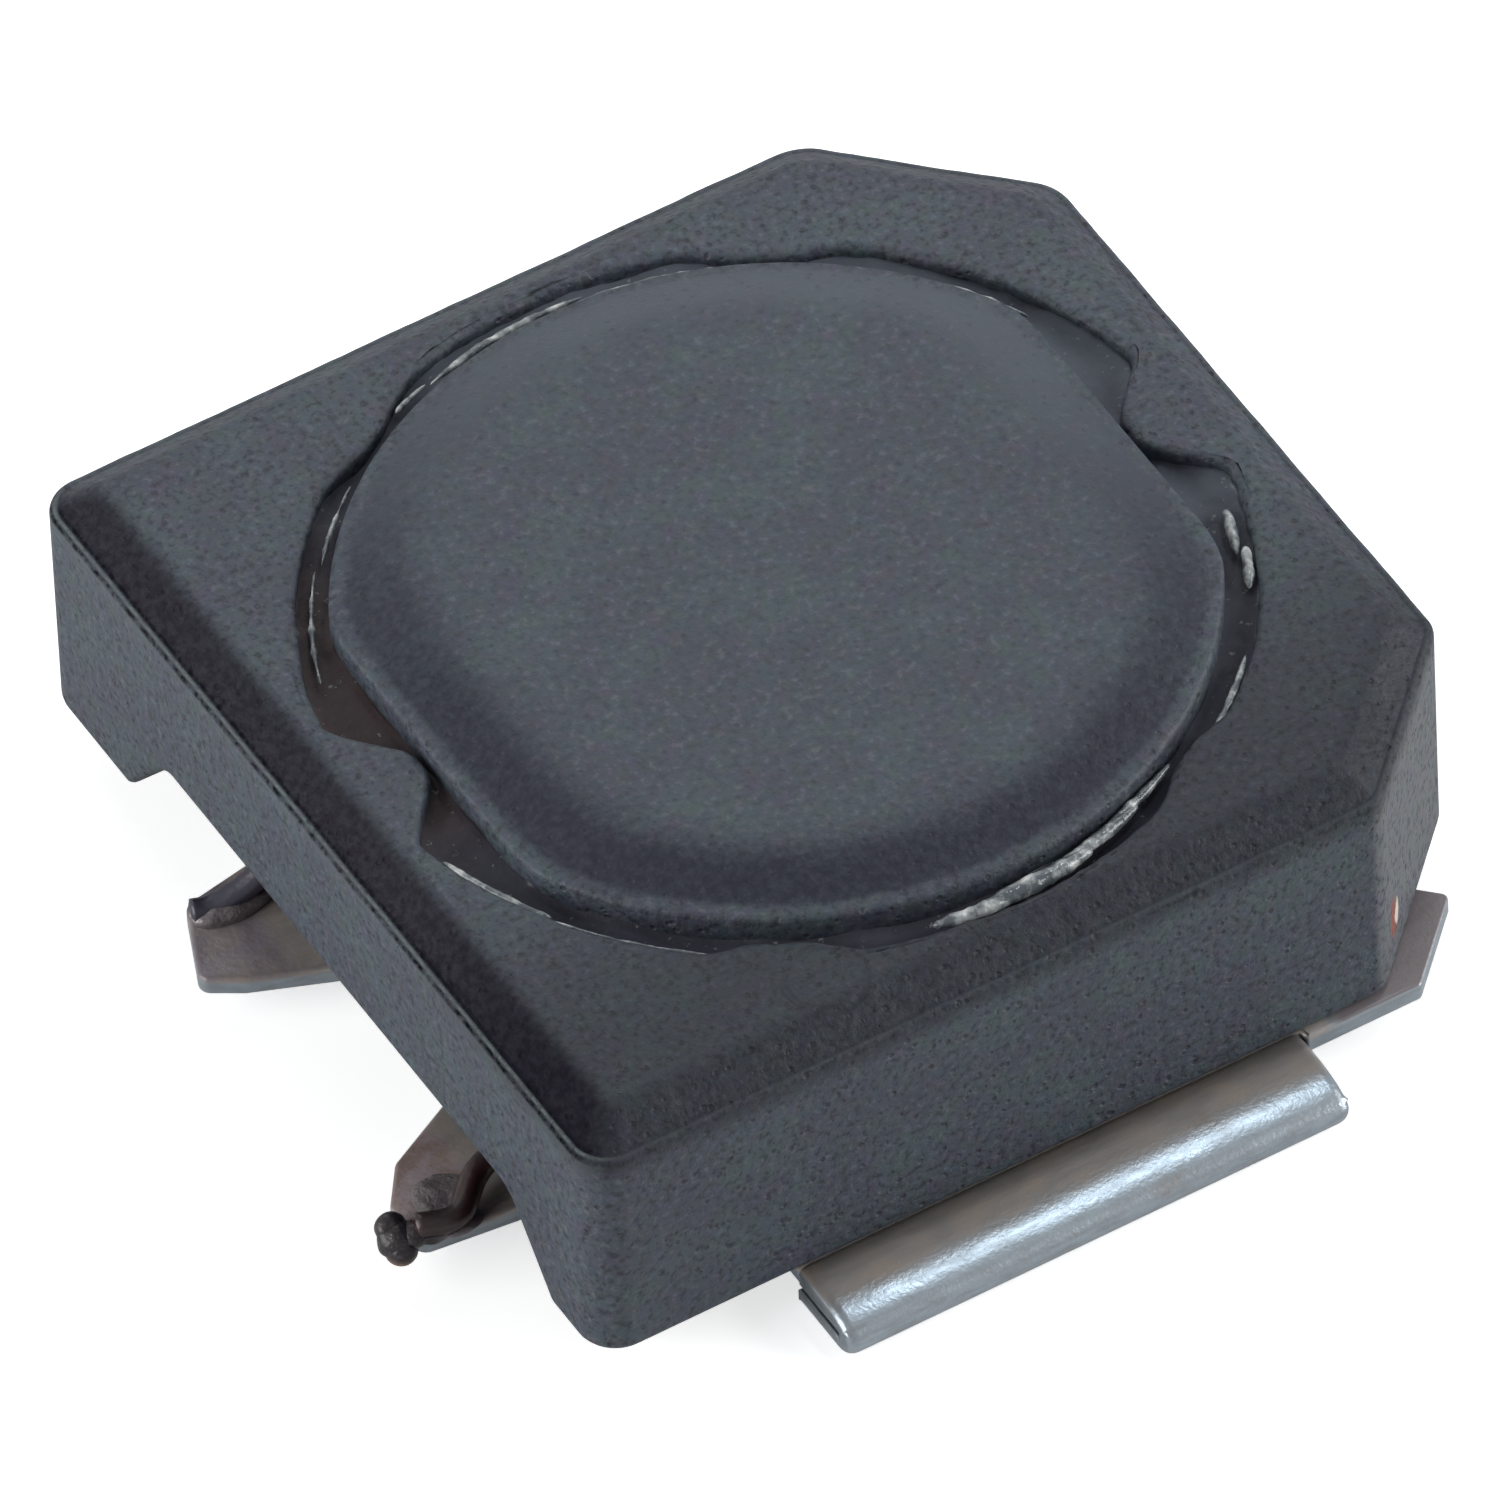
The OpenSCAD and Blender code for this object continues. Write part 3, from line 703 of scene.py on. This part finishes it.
def plateOutline(tab):
    # the front plate seen from above; the back one is its mirror image
    v, ring = terminal, ringCore
    half, chamfer, corner, soft = ring["side"] / 2, ring["frontChamfer"], v["cornerTab"], v["cornerRound"]
    centre = tab["side"] * v["tabShift"] - v["tabOffset"]
    root = -half + v["tabRoot"]
    slope = tan(radians(tab["splay"]))
    tipY = centre - slope * v["tabReach"]
    rootY = centre + slope * (root + half)
    rootHigh, tipHigh = rootY + v["tabWidth"] / 2 + tab["flare"], tipY + tab["tip"] / 2
    shoulderX = -half - v["tabReach"] / 2
    part = (root - shoulderX) / (root + half + tab["reach"])
    shoulderY = rootHigh + (tipHigh - rootHigh) * part + tab["shoulder"]
    footStart = -v["footLength"] / 2 - v["footShift"]
    footEnd = footStart + v["footLength"] - v["endCut"]
    under, front = 0.03 - half, -half - 0.06
    cornerX = half - chamfer + corner * sqrt(2) - 0.06
    chamferX, chamferY = half - chamfer / 2, chamfer / 2 - half
    diagonal = corner * 0.71 + 0.12  # how far the corner tab stands out along each axis
    return roundedOutline([
        (footStart, under, 0), (footEnd, under, 0), (footEnd + 0.02, front, 0.02), (cornerX, front, soft),
        (chamferX + diagonal, chamferY - corner * 0.71 + 0.12, soft), (chamferX - 0.5, chamferY + 0.74, 0.2),
        (v["plateEnd"], -v["plateIn"], v["plateRound"]), (footStart, -v["plateIn"], v["plateRound"]),
        (root, rootHigh, v["rootRound"]), (shoulderX, shoulderY, v["tabRound"]),
        (-half - tab["reach"], tipHigh, v["tabRound"]),
        (-half - tab["cornerReach"], tipY - tab["tip"] / 2, 0.12),
        (root, centre - v["tabWidth"] * 0.6, v["rootRound"]),
        (footStart, centre - v["tabWidth"] * 1.4, 0)], 6)


def plateMesh(tab):
    v = terminal
    high = 2 * v["sheet"] + v["slit"]
    low = high - v["sheet"]
    outline = plateOutline(tab)
    steps = edgeSteps(v["edgeRound"], 3)
    levels = [(inset, low + drop) for inset, drop in steps]
    levels += [(inset, high - drop) for inset, drop in reversed(steps)]
    rows = [[local(p.x, p.y, z) for p in offsetOutline(outline, inset)] for inset, z in levels]
    return bodyOfRows("plate", rows)


def foldMesh():
    # the folded foot: upper leaf, round nose, lower leaf, swept along X with rounded ends
    v, ring = terminal, ringCore
    nose = v["sheet"] + v["slit"] / 2
    noseY = ring["side"] / 2 + v["footReach"] - nose
    under = ring["side"] / 2 - 0.03
    leafEnd = noseY - v["leaf"] + nose
    # the upper side curves over gently, the lower one is bent tighter
    section = [(-under, 2 * nose)]
    for t in (pi * k / 28 for k in range(29)):
        soft = v["softBend"] if t < pi / 2 else 0.0
        section.append((soft - noseY - (nose + soft) * sin(t), nose + nose * cos(t)))
    section += [(-leafEnd - 0.03, 0.0), (-leafEnd, 0.03), (-leafEnd, v["sheet"] - 0.03),
                (-leafEnd - 0.03, v["sheet"])]
    gap = v["slit"] / 2
    for t in (pi * k / 8 for k in range(9)):
        section.append((-noseY - gap * sin(t), nose - gap * cos(t)))
    section += [(-under, nose + gap)]
    rows = []

    def addSection(x, inset):
        # the ends are rounded on the outside only, so the slit keeps its width
        row = []
        for p in map(Vector, section):
            away = Vector((-noseY, nose)) - p
            if p.y > 1.5 * nose or p.y < 0.001 or (p.x < -noseY and away.length > nose * 0.9):
                if p.x < -noseY:
                    p = p + away.normalized() * inset * 0.7
                else:
                    p = p + Vector((0, inset * 0.7 if p.y < nose else -inset * 0.7))
            row.append(local(x, p.x, p.y))
        rows.append(row)

    start = -v["footLength"] / 2 - v["footShift"]
    length = v["footLength"] - v["endCut"]
    ends = edgeSteps(v["endRound"], 5)
    for inset, along in ends:
        addSection(start + along, inset)
    for part in (0.2, 0.4, 0.6, 0.8):
        addSection(start + length * part, 0.0)
    for inset, along in reversed(ends):
        addSection(start + length - along, inset)
    return bodyOfRows("fold", rows)


def buildTerminals():
    tin = makeTin()
    for name, tab in (("Front", terminal["front"]), ("Back", terminal["back"])):
        mesh = joinMeshes("terminal" + name, [plateMesh(tab), foldMesh()])
        if tab["side"] > 0:
            mesh.transform(Matrix.Diagonal((1, -1, 1, 1)))
            closeMesh(mesh)
        # hand-bent sheet is never quite flat: a few microns of waviness
        for vertex in mesh.vertices:
            x, y, z = vertex.co / mm
            if y * tab["side"] > 4.2 and z > 0.2:
                vertex.co.z += min(0, wobble(x, y, z, 0.9, 4.2)) * 0.012 * mm
        piece = showMesh("terminal" + name, mesh, tin)
        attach(piece, "root")
        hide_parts("terminal_" + name.lower())


buildTerminals()
print("terminals ready")


# Winding and leads

winding = {"wire": 0.2, "coilInset": 0.6, "layers": 2, "layerStep": 0.87, "turnSides": 10, "turnSteps": 96,
           "leadSides": 14, "leadSteps": 8, "unevenness": 0.05, "clearance": 0.012}
enamelLook = {"body": paint(86, 34, 26), "dark": paint(34, 20, 22), "light": paint(150, 78, 52),
              "burntFront": paint(30, 13, 16), "burntBack": paint(50, 50, 66), "roughness": 0.4}


def makeEnamel():
    look = enamelLook
    material, tree, shader, place, x, y, z = newFinish("enamelledWire")
    cloud = noiseOf(place, 4.0, 3.0, 0.6)
    fine = noiseOf(place, 22.0, 2.0)
    colour = mix(rangeOf(cloud, 0.42, 0.62), look["dark"], look["body"])
    colour = mix(rangeOf(fine, 0.6, 0.75, 0.0, 0.4), colour, look["light"])
    # the soldering iron has darkened both leads outside the ring, the back one to blue-black
    ends = mix(rangeOf(y, -0.5, 0.5), look["burntFront"], look["burntBack"])
    colour = mix(rangeOf(x, -3.5, -3.85, 0.0, 0.9), colour, ends)
    dress(shader, (plus(cloud, times(fine, 0.3)), 0.4, 0.03), {
        "Base Color": colour, "Roughness": look["roughness"], "Coat Weight": 0.3, "Coat Roughness": 0.2})
    return material


def windingTree():
    # one layer of turns of round wire, all from the named sizes
    tree, sizes = newGeometryTree("windingTurns", {
        "Radius": 0.0027, "Low": 0.0008, "High": 0.002, "Wire": 0.0002, "Turns": 6.0, "Steps": 96,
        "Sides": 10, "Middle X": 0.0, "Material": None})
    wire = sizes["Wire"]
    spiral = addNode(tree, "GeometryNodeCurveSpiral", {
        "Resolution": sizes["Steps"], "Rotations": sizes["Turns"], "Start Radius": sizes["Radius"],
        "End Radius": sizes["Radius"], "Height": minus(minus(sizes["High"], sizes["Low"]), wire)})
    lowest = plus(sizes["Low"], times(wire, 0.5))
    shift = addNode(tree, "ShaderNodeCombineXYZ", {0: sizes["Middle X"], 2: lowest}).outputs[0]
    return finishTube(tree, sizes, spiral.outputs["Curve"], times(wire, 0.497), shift)


def tubeAlong(name, points, radii):
    # a round tube through the points with its own radius at each, closed at both ends
    rows = []
    last = len(points) - 1
    turns = [2 * pi * k / winding["leadSides"] for k in range(winding["leadSides"])]
    for i, (here, radius) in enumerate(zip(points, radii)):
        along = (points[min(i + 1, last)] - points[max(i - 1, 0)]).normalized()
        across = along.cross(Vector((0, 1, 0.2))).normalized()
        up = along.cross(across)
        rows.append([tuple(here + (across * cos(t) + up * sin(t)) * radius) for t in turns])
    return bodyOfRows(name, rows)


def smoothPath(points, steps):
    path = []
    last = len(points) - 1
    for i in range(last):
        a, b, c, d = points[max(i - 1, 0)], points[i], points[i + 1], points[min(i + 2, last)]
        for k in range(steps):
            t = k / steps
            bend, twist = 2 * a - 5 * b + 4 * c - d, 3 * b - a - 3 * c + d
            path.append(0.5 * (2 * b + (c - a) * t + bend * t * t + twist * t ** 3))
    path.append(points[last])
    return path


def leadPoints(tab):
    # from the coil, over the lower flange and under the ring, to the tip of the wire tab
    v, ring, drum = winding, ringCore, drumCore
    side, wire, turn = -ring["side"] / 2, v["wire"], tab["side"]
    stand = 2 * terminal["sheet"] + terminal["slit"]
    flangeTop = boxOf("drum_core")[0].z + drum["lowerFlange"]
    overFlange, onTab = flangeTop + wire / 2 + 0.06, stand + wire / 2 + v["clearance"]
    slope = tan(radians(tab["splay"]))
    out = terminal["tabOffset"] + slope * terminal["tabReach"] + tab["tip"] / 2
    tipY = -terminal["tabShift"] + turn * out
    endX, endY = side - tab["cornerReach"] - wire * 0.2, tipY - turn * wire * 0.7
    y = endY - turn * wire * 0.5

    def chord(radius):
        return -sqrt(radius * radius - y * y)

    points = [(chord(drum["radius"] - v["coilInset"] - wire / 2), y, overFlange),
              (chord(drum["radius"]), y, overFlange),
              (chord(ring["holeRadius"]) - wire, y, (overFlange * 2 + onTab) / 3),
              (side + wire, y, onTab + wire / 2)]
    if turn < 0:  # the front lead bends out to the near edge of its tab
        points += [(side - wire * 0.85, y - wire * 1.25, onTab),
                   (endX + wire * 0.2, endY - wire * 0.35, onTab)]
    else:
        points += [(side - wire / 2, (y + endY) / 2, onTab - wire / 5), (endX, endY, onTab - wire / 4)]
    return [Vector(p) for p in points]


def buildWinding():
    v, drum = winding, drumCore
    enamel = makeEnamel()
    drumLow, drumHigh = boxOf("drum_core")
    low = drumLow.z + drum["lowerFlange"]
    high = drumHigh.z - drum["crownHeight"] - drum["upperFlange"]
    tree = windingTree()
    coil = drum["radius"] - v["coilInset"]
    turns = int((high - low) / v["wire"]) - 0.5
    layers = []
    for layer in range(v["layers"]):
        radius = coil - v["wire"] * (0.5 + v["layerStep"] * layer)
        layers.append(runNodes("turns", tree, {
            "Radius": radius * mm, "Low": (low + v["clearance"]) * mm, "High": (high - v["clearance"]) * mm,
            "Wire": v["wire"] * mm, "Turns": float(turns), "Steps": v["turnSteps"], "Sides": v["turnSides"],
            "Middle X": ringMiddle.x, "Material": enamel}))
    for tab in (terminal["front"], terminal["back"]):
        path = smoothPath(leadPoints(tab), v["leadSteps"])
        radii = [v["wire"] / 2 * (1 + v["unevenness"] * wobble(p.x, p.y, p.z, 0.3, 8.8)) for p in path]
        radii[-1] *= 0.55  # the end is nipped
        layers.append(tubeAlong("lead", [Vector(local(*p)) for p in path], [r * mm for r in radii]))
    piece = showMesh("coilAndLeads", closeMesh(joinMeshes("winding", layers)), enamel)
    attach(piece, "root")
    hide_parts("winding")


buildWinding()
print("winding ready")


# Solder

solderWork = {
    "lump": 0.012, "lumpSize": 0.12, "slump": 0.6, "slumpPasses": 24,
    # lumps round the ring's axis: middle, then half sizes
    "front": [((-4.632, -2.05, 0.45), (0.135, 0.13, 0.135)), ((-4.622, -2.12, 0.39), (0.168, 0.165, 0.165)),
              ((-4.617, -2.19, 0.335), (0.14, 0.135, 0.14)), ((-4.5, -2.18, 0.42), (0.15, 0.12, 0.12)),
              ((-4.36, -2.22, 0.41), (0.18, 0.13, 0.08)), ((-4.16, -2.25, 0.4), (0.22, 0.13, 0.05)),
              ((-4.12, -1.93, 0.385), (0.26, 0.25, 0.028))],
    "back": [((-4.18, 1.42, 0.41), (0.13, 0.11, 0.08)), ((-3.97, 1.34, 0.42), (0.37, 0.17, 0.13))],
}
solderLook = {"bright": paint(170, 168, 164), "dull": paint(98, 92, 90), "burnt": paint(36, 30, 34),
              "tan": paint(146, 116, 88), "flux": paint(112, 103, 108)}


def makeSolder():
    look = solderLook
    material, tree, shader, place, x, y, z = newFinish("dullSolder")
    cloud = noiseOf(place, 6.0, 4.0, 0.6)
    fine = noiseOf(place, 30.0, 2.0)
    colour = mix(rangeOf(cloud, 0.4, 0.62), look["dull"], look["bright"])
    # burnt flux gathers on the bead at the tip, and thins to tan below it
    nearTip = rangeOf(x, -3.4, -3.75)
    colour = mix(times(nearTip, rangeOf(cloud, 0.35, 0.5, 1.0, 0.75)), colour, look["flux"])
    tip = mathOf("MAXIMUM", rangeOf(x, -4.3, -4.45), times(rangeOf(y, 0.0, -1.0), rangeOf(z, 0.44, 0.5)))
    burnt = times(tip, rangeOf(fine, 0.25, 0.5, 0.75, 1.0))
    bead = mix(rangeOf(z, 0.36, 0.22), look["burnt"], look["tan"])
    metal = minus(minus(0.75, times(nearTip, 0.45)), times(burnt, 0.3), clamp=True)
    dress(shader, (plus(cloud, times(fine, 0.25)), 0.5, 0.04), {
        "Base Color": mix(burnt, colour, bead), "Metallic": metal, "Roughness": plus(times(cloud, 0.3), 0.2)})
    return material


def meltedLumps(name, lumps, seed):
    # lumps sunk into each other, slumped and dimpled, so that they read as something that once ran
    v = solderWork
    work = bmesh.new()
    for middle, size in lumps:
        shape = Matrix.Diagonal((*(half * mm for half in size), 1))
        place = Matrix.Translation(Vector(local(*middle))) @ shape
        bmesh.ops.create_icosphere(work, subdivisions=4, radius=1, matrix=place)
    mesh = bpy.data.meshes.new(name)
    work.to_mesh(mesh)
    work.free()
    holder = addObject(name, mesh)
    relax = holder.modifiers.new("relax", "SMOOTH")
    relax.factor, relax.iterations = v["slump"], v["slumpPasses"]
    result = settledMesh(holder)
    normals = [vertex.normal.copy() for vertex in result.vertices]
    for vertex, normal in zip(result.vertices, normals):
        x, y, z = vertex.co / mm
        vertex.co += normal * (wobble(x, y, z, v["lumpSize"], seed) - 0.2) * v["lump"] * mm
    result.name = name
    return result


def buildSolder():
    solder = makeSolder()
    for name, node, lumps, seed in (("solderFront", "solder_front", "front", 2.7),
                                    ("solderBack", "solder_back", "back", 6.1)):
        piece = showMesh(name, meltedLumps(name, solderWork[lumps], seed), solder)
        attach(piece, "root")
        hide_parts(node)


buildSolder()
print("solder ready")


# Adhesive

adhesive = {
    "step": 0.7, "sides": 12, "seed": 4, "fillDrop": 0.1, "fillSamples": 900,
    # the thin milky beads on the brink at 195°, 211° and 303° are partly real adhesive and partly a painted highlight
    # of the hole's edge
    # start angle, sweep, radius, height, thickness, unevenness
    "beads": [(195, 16, 3.52, 2.64, 0.06, 0.4), (211, 21, 3.53, 2.62, 0.035, 0.7),
              (258, 13, 3.46, 2.63, 0.11, 0.5), (264, 17, 3.43, 2.63, 0.14, 0.35),
              (276, 14, 3.385, 2.625, 0.1, 0.35), (284, 14, 3.345, 2.62, 0.07, 0.5),
              (303, 15, 3.5, 2.63, 0.05, 0.8), (329, 7, 3.47, 2.62, 0.09, 0.5), (335, 8, 3.4, 2.6, 0.08, 0.6),
              (25, 28, 3.34, 2.64, 0.05, 0.9), (64, 22, 3.35, 2.64, 0.05, 0.9),
              (84, 24, 3.38, 2.65, 0.06, 0.9), (108, 6, 3.43, 2.62, 0.04, 0.9),
              (127, 14, 3.38, 2.6, 0.038, 1.2), (142, 19, 3.42, 2.6, 0.038, 1.3)],
    # across the gap: part of the way outwards, and how far the skin sags there
    "skin": ((0.0, 0.35), (0.0, 0.0), (0.12, 0.02), (0.3, 0.04), (0.5, 0.05), (0.7, 0.04), (0.88, 0.02),
             (1.0, 0.0), (1.0, 0.35)),
}
adhesiveLook = {
    "clear": (paint(150, 155, 156), paint(205, 207, 205), paint(84, 90, 96)),  # base, milky, grey
    "amber": (paint(120, 88, 48), paint(150, 116, 70), paint(84, 60, 34)), "roughness": 0.16,
    "skin": paint(56, 56, 66), "skinBrown": paint(60, 50, 52), "skinFarLight": paint(84, 89, 98),
    "skinGlint": paint(140, 140, 140),
}


def makeAdhesive(name, base, milky, grey, skinBelow=False):
    look = adhesiveLook
    material, tree, shader, place, x, y, z = newFinish(name)
    cloud = noiseOf(place, 7.0, 3.0, 0.6)
    colour = mix(rangeOf(cloud, 0.42, 0.58), grey, base)
    colour = mix(rangeOf(cloud, 0.56, 0.7), colour, milky)
    values = {"Roughness": look["roughness"], "IOR": 1.5}
    if skinBelow:
        # under the beads the adhesive is a dark skin, brown beside the large rib towards -X
        brown = times(rangeOf(x, -2.3, -2.9), rangeOf(y, -1.2, -0.2))
        skin = mix(brown, look["skin"], look["skinBrown"])
        # painted light: the skin is lighter towards +X +Y, the far side of the gap
        skin = mix(rangeOf(plus(x, y), 0.8, 3.0), skin, look["skinFarLight"])
        glint = rangeOf(noiseOf(place, 13.0, 3.0, 0.65), 0.64, 0.7, 0.0, 0.6)
        skin = mix(glint, skin, look["skinGlint"])
        isBead = rangeOf(z, 2.575, 2.595)
        colour = mix(isBead, skin, colour)
        values["Roughness"] = rangeOf(isBead, 0, 1, 0.55, look["roughness"])
        values["Specular IOR Level"] = rangeOf(isBead, 0, 1, 0.2, 0.5)
    dress(shader, (noiseOf(place, 14.0, 2.0), 0.35, 0.03), {"Base Color": colour, **values})
    return material


def beadTree():
    # a bead laid along an arc, thick and thin by a seeded noise
    tree, sizes = newGeometryTree("adhesiveBead", {
        "Radius": 0.0034, "Start": 0.0, "Sweep": 0.5, "Thickness": 0.0001, "Unevenness": 0.4, "Seed": 0,
        "Steps": 60, "Sides": 12, "Middle": (0, 0, 0), "Material": None})
    arc = addNode(tree, "GeometryNodeCurveArc", {
        "Resolution": sizes["Steps"], "Radius": sizes["Radius"], "Start Angle": sizes["Start"],
        "Sweep Angle": sizes["Sweep"]})
    where = addNode(tree, "GeometryNodeInputPosition").outputs[0]
    values = {"Vector": where, "W": sizes["Seed"], "Scale": 5200.0, "Detail": 2.0}
    rough = addNode(tree, "ShaderNodeTexNoise", values, noise_dimensions="4D").outputs["Fac"]
    swell = plus(times(minus(rough, 0.5), 3.2, sizes["Unevenness"]), 1.0)
    # both ends taper to nothing
    along = addNode(tree, "GeometryNodeSplineParameter").outputs["Factor"]
    fade = mathOf("POWER", times(minus(1.0, along), along, 4.0), 0.35)
    size = times(mathOf("MAXIMUM", swell, 0.25), mathOf("MAXIMUM", fade, 0.05))
    return finishTube(tree, sizes, arc.outputs["Curve"], times(sizes["Thickness"], 0.5), sizes["Middle"],
                      size)


def gapFilling():
    # the thin dark skin that the adhesive leaves between the two cores, low in the middle
    v, drum = adhesive, drumCore
    angles = anglesRound(v["fillSamples"])
    outer = holeReach(angles) + 0.03
    flat = drum["flat"] / np.maximum(np.abs(np.cos(angles)), 1e-6)
    inner = np.minimum(np.full(len(angles), drum["radius"]), flat) - 0.04
    top = ringHigh.z / mm - v["fillDrop"]
    rows = []
    for part, sag in v["skin"]:
        row = []
        for a, near, wide in zip(angles, inner, outer):
            r = near + (wide - near) * part
            x, y = r * cos(a), r * sin(a)
            rough = 0.05 * wobble(x, y, 0, 0.4, 3.3) + 0.012 * wobble(x, y, 0, 0.13, 8.1)
            row.append(local(x, y, top - sag + (rough if sag < 0.3 else 0)))
        rows.append(row)
    return gridMesh("filling", rows, True)


def buildAdhesive():
    v = adhesive
    clear = makeAdhesive("clearAdhesive", *adhesiveLook["clear"], True)
    tree = beadTree()
    beads = []
    for i, (first, sweep, radius, height, thick, uneven) in enumerate(v["beads"]):
        beads.append(runNodes("bead", tree, {
            "Radius": radius * mm, "Start": radians(first), "Sweep": radians(sweep), "Thickness": thick * mm,
            "Unevenness": uneven, "Seed": v["seed"] + i, "Steps": int(sweep / v["step"]) * 2,
            "Sides": v["sides"], "Middle": (ringMiddle.x, ringMiddle.y, height * mm), "Material": clear}))
    piece = showMesh("ringAdhesive", closeMesh(joinMeshes("ringAdhesive", beads + [gapFilling()])), clear)
    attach(piece, "root")
    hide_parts("ring_adhesive")
    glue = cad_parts["plate_adhesive"]
    glue.data.materials.clear()
    glue.data.materials.append(makeAdhesive("amberAdhesive", *adhesiveLook["amber"]))


buildAdhesive()
print("adhesive ready")


# Floor, lights and camera

stageSetup = {
    "floorSize": 1.2, "floorGlow": 0.62, "room": 0.08, "shine": 0.5,
    # direction, distance, width and depth, power, colour
    "lamps": {
        "leftLamp": ((-1.0, 0.15, 0.35), 0.12, (0.12, 0.1), 0.165, (1, 1, 1)),
        "rightLamp": ((0.98, -0.52, 0.33), 0.12, (0.08, 0.1), 0.16, (1, 1, 1)),
        "stripLamp": ((0.33, 0.06, 0.94), 0.12, (0.03, 0.012), 0.018, (0.82, 0.92, 1.0)),
        "backLamp": ((0.33, 0.72, 0.75), 0.032, (0.034, 0.026), 0.0033, (1, 1, 1)),
    },
}
cameraSetup = {"azimuth": -29.08, "elevation": 47.59, "roll": -2.81, "distance": 271.4, "lens": 881.9,
               "slide": (-0.270, 0.402)}


def placeCamera():
    v = cameraSetup
    a, e, roll = (radians(v[k]) for k in ("azimuth", "elevation", "roll"))
    back = Vector((sin(a) * cos(e), -cos(a) * cos(e), sin(e)))
    flatRight = Vector((cos(a), sin(a), 0))
    flatUp = back.cross(flatRight)
    right = flatRight * cos(roll) + flatUp * sin(roll)
    up = flatUp * cos(roll) - flatRight * sin(roll)
    data = bpy.data.cameras.new("camera")
    data.lens, data.sensor_width = v["lens"], 36
    data.clip_start, data.clip_end = 0.01, 5
    camera = addObject("camera", data)
    aim = Vector((ringMiddle.x / mm, ringMiddle.y / mm, ringLow.z / mm))
    camera.location = (aim + back * v["distance"] + right * v["slide"][0] + up * v["slide"][1]) * mm
    camera.rotation_mode = "QUATERNION"
    camera.rotation_quaternion = Matrix((right, up, back)).transposed().to_quaternion()
    bpy.context.scene.camera = camera


def addLamp(name, direction, distance, size, power, colour):
    data = bpy.data.lights.new(name, "AREA")
    data.shape = "RECTANGLE"
    data.size, data.size_y = size
    data.energy, data.color = power, colour
    lamp = addObject(name, data)
    towards = Vector(direction).normalized()
    lamp.location = towards * distance
    lamp.rotation_mode = "QUATERNION"
    lamp.rotation_quaternion = towards.to_track_quat("Z", "Y")


def buildFloor():
    # pale, and white where the camera looks at it
    size = stageSetup["floorSize"] / 2
    mesh = bpy.data.meshes.new("floor")
    corners = [(-size, -size, 0), (size, -size, 0), (size, size, 0), (-size, size, 0)]
    mesh.from_pydata(corners, [], [(0, 1, 2, 3)])
    material, tree, shader = newMaterial("paleFloor")
    feed(tree, shader, {"Base Color": (0.9, 0.9, 0.9, 1), "Roughness": 0.9})
    rays = addNode(tree, "ShaderNodeLightPath").outputs
    white = addNode(tree, "ShaderNodeEmission", {"Color": (1, 1, 1, 1), "Strength": stageSetup["floorGlow"]})
    nothing = addNode(tree, "ShaderNodeEmission", {"Color": (0, 0, 0, 1), "Strength": 0.0})
    seen = mathOf("MAXIMUM", rays["Is Camera Ray"], rays["Is Transmission Ray"])
    pick = addNode(tree, "ShaderNodeMixShader", {0: seen, 1: nothing.outputs[0], 2: white.outputs[0]})
    both = addNode(tree, "ShaderNodeAddShader", {0: shader.outputs["BSDF"], 1: pick.outputs[0]})
    out = next(n for n in tree.nodes if n.type == "OUTPUT_MATERIAL")
    tree.links.new(both.outputs[0], out.inputs["Surface"])
    floor = showMesh("floor", mesh, material, False)


def buildRoom():
    # a dim room that shows brighter in what is glossy
    v = stageSetup
    world = bpy.data.worlds.new("softRoom")
    world.use_nodes = True
    tree = world.node_tree
    background = next(n for n in tree.nodes if n.type == "BACKGROUND")
    rays = addNode(tree, "ShaderNodeLightPath").outputs
    seen = mathOf("MAXIMUM", rays["Is Camera Ray"], rays["Is Transmission Ray"])
    strength = plus(times(rays["Is Glossy Ray"], v["shine"] - v["room"]), v["room"])
    feed(tree, background, {"Strength": mathOf("MAXIMUM", strength, seen), "Color": (1, 1, 1, 1)})
    bpy.context.scene.world = world


placeCamera()
buildFloor()
buildRoom()
for name, lamp in stageSetup["lamps"].items():
    addLamp(name, *lamp)
bpy.context.scene.view_settings.view_transform = "Standard"
print("stage ready")
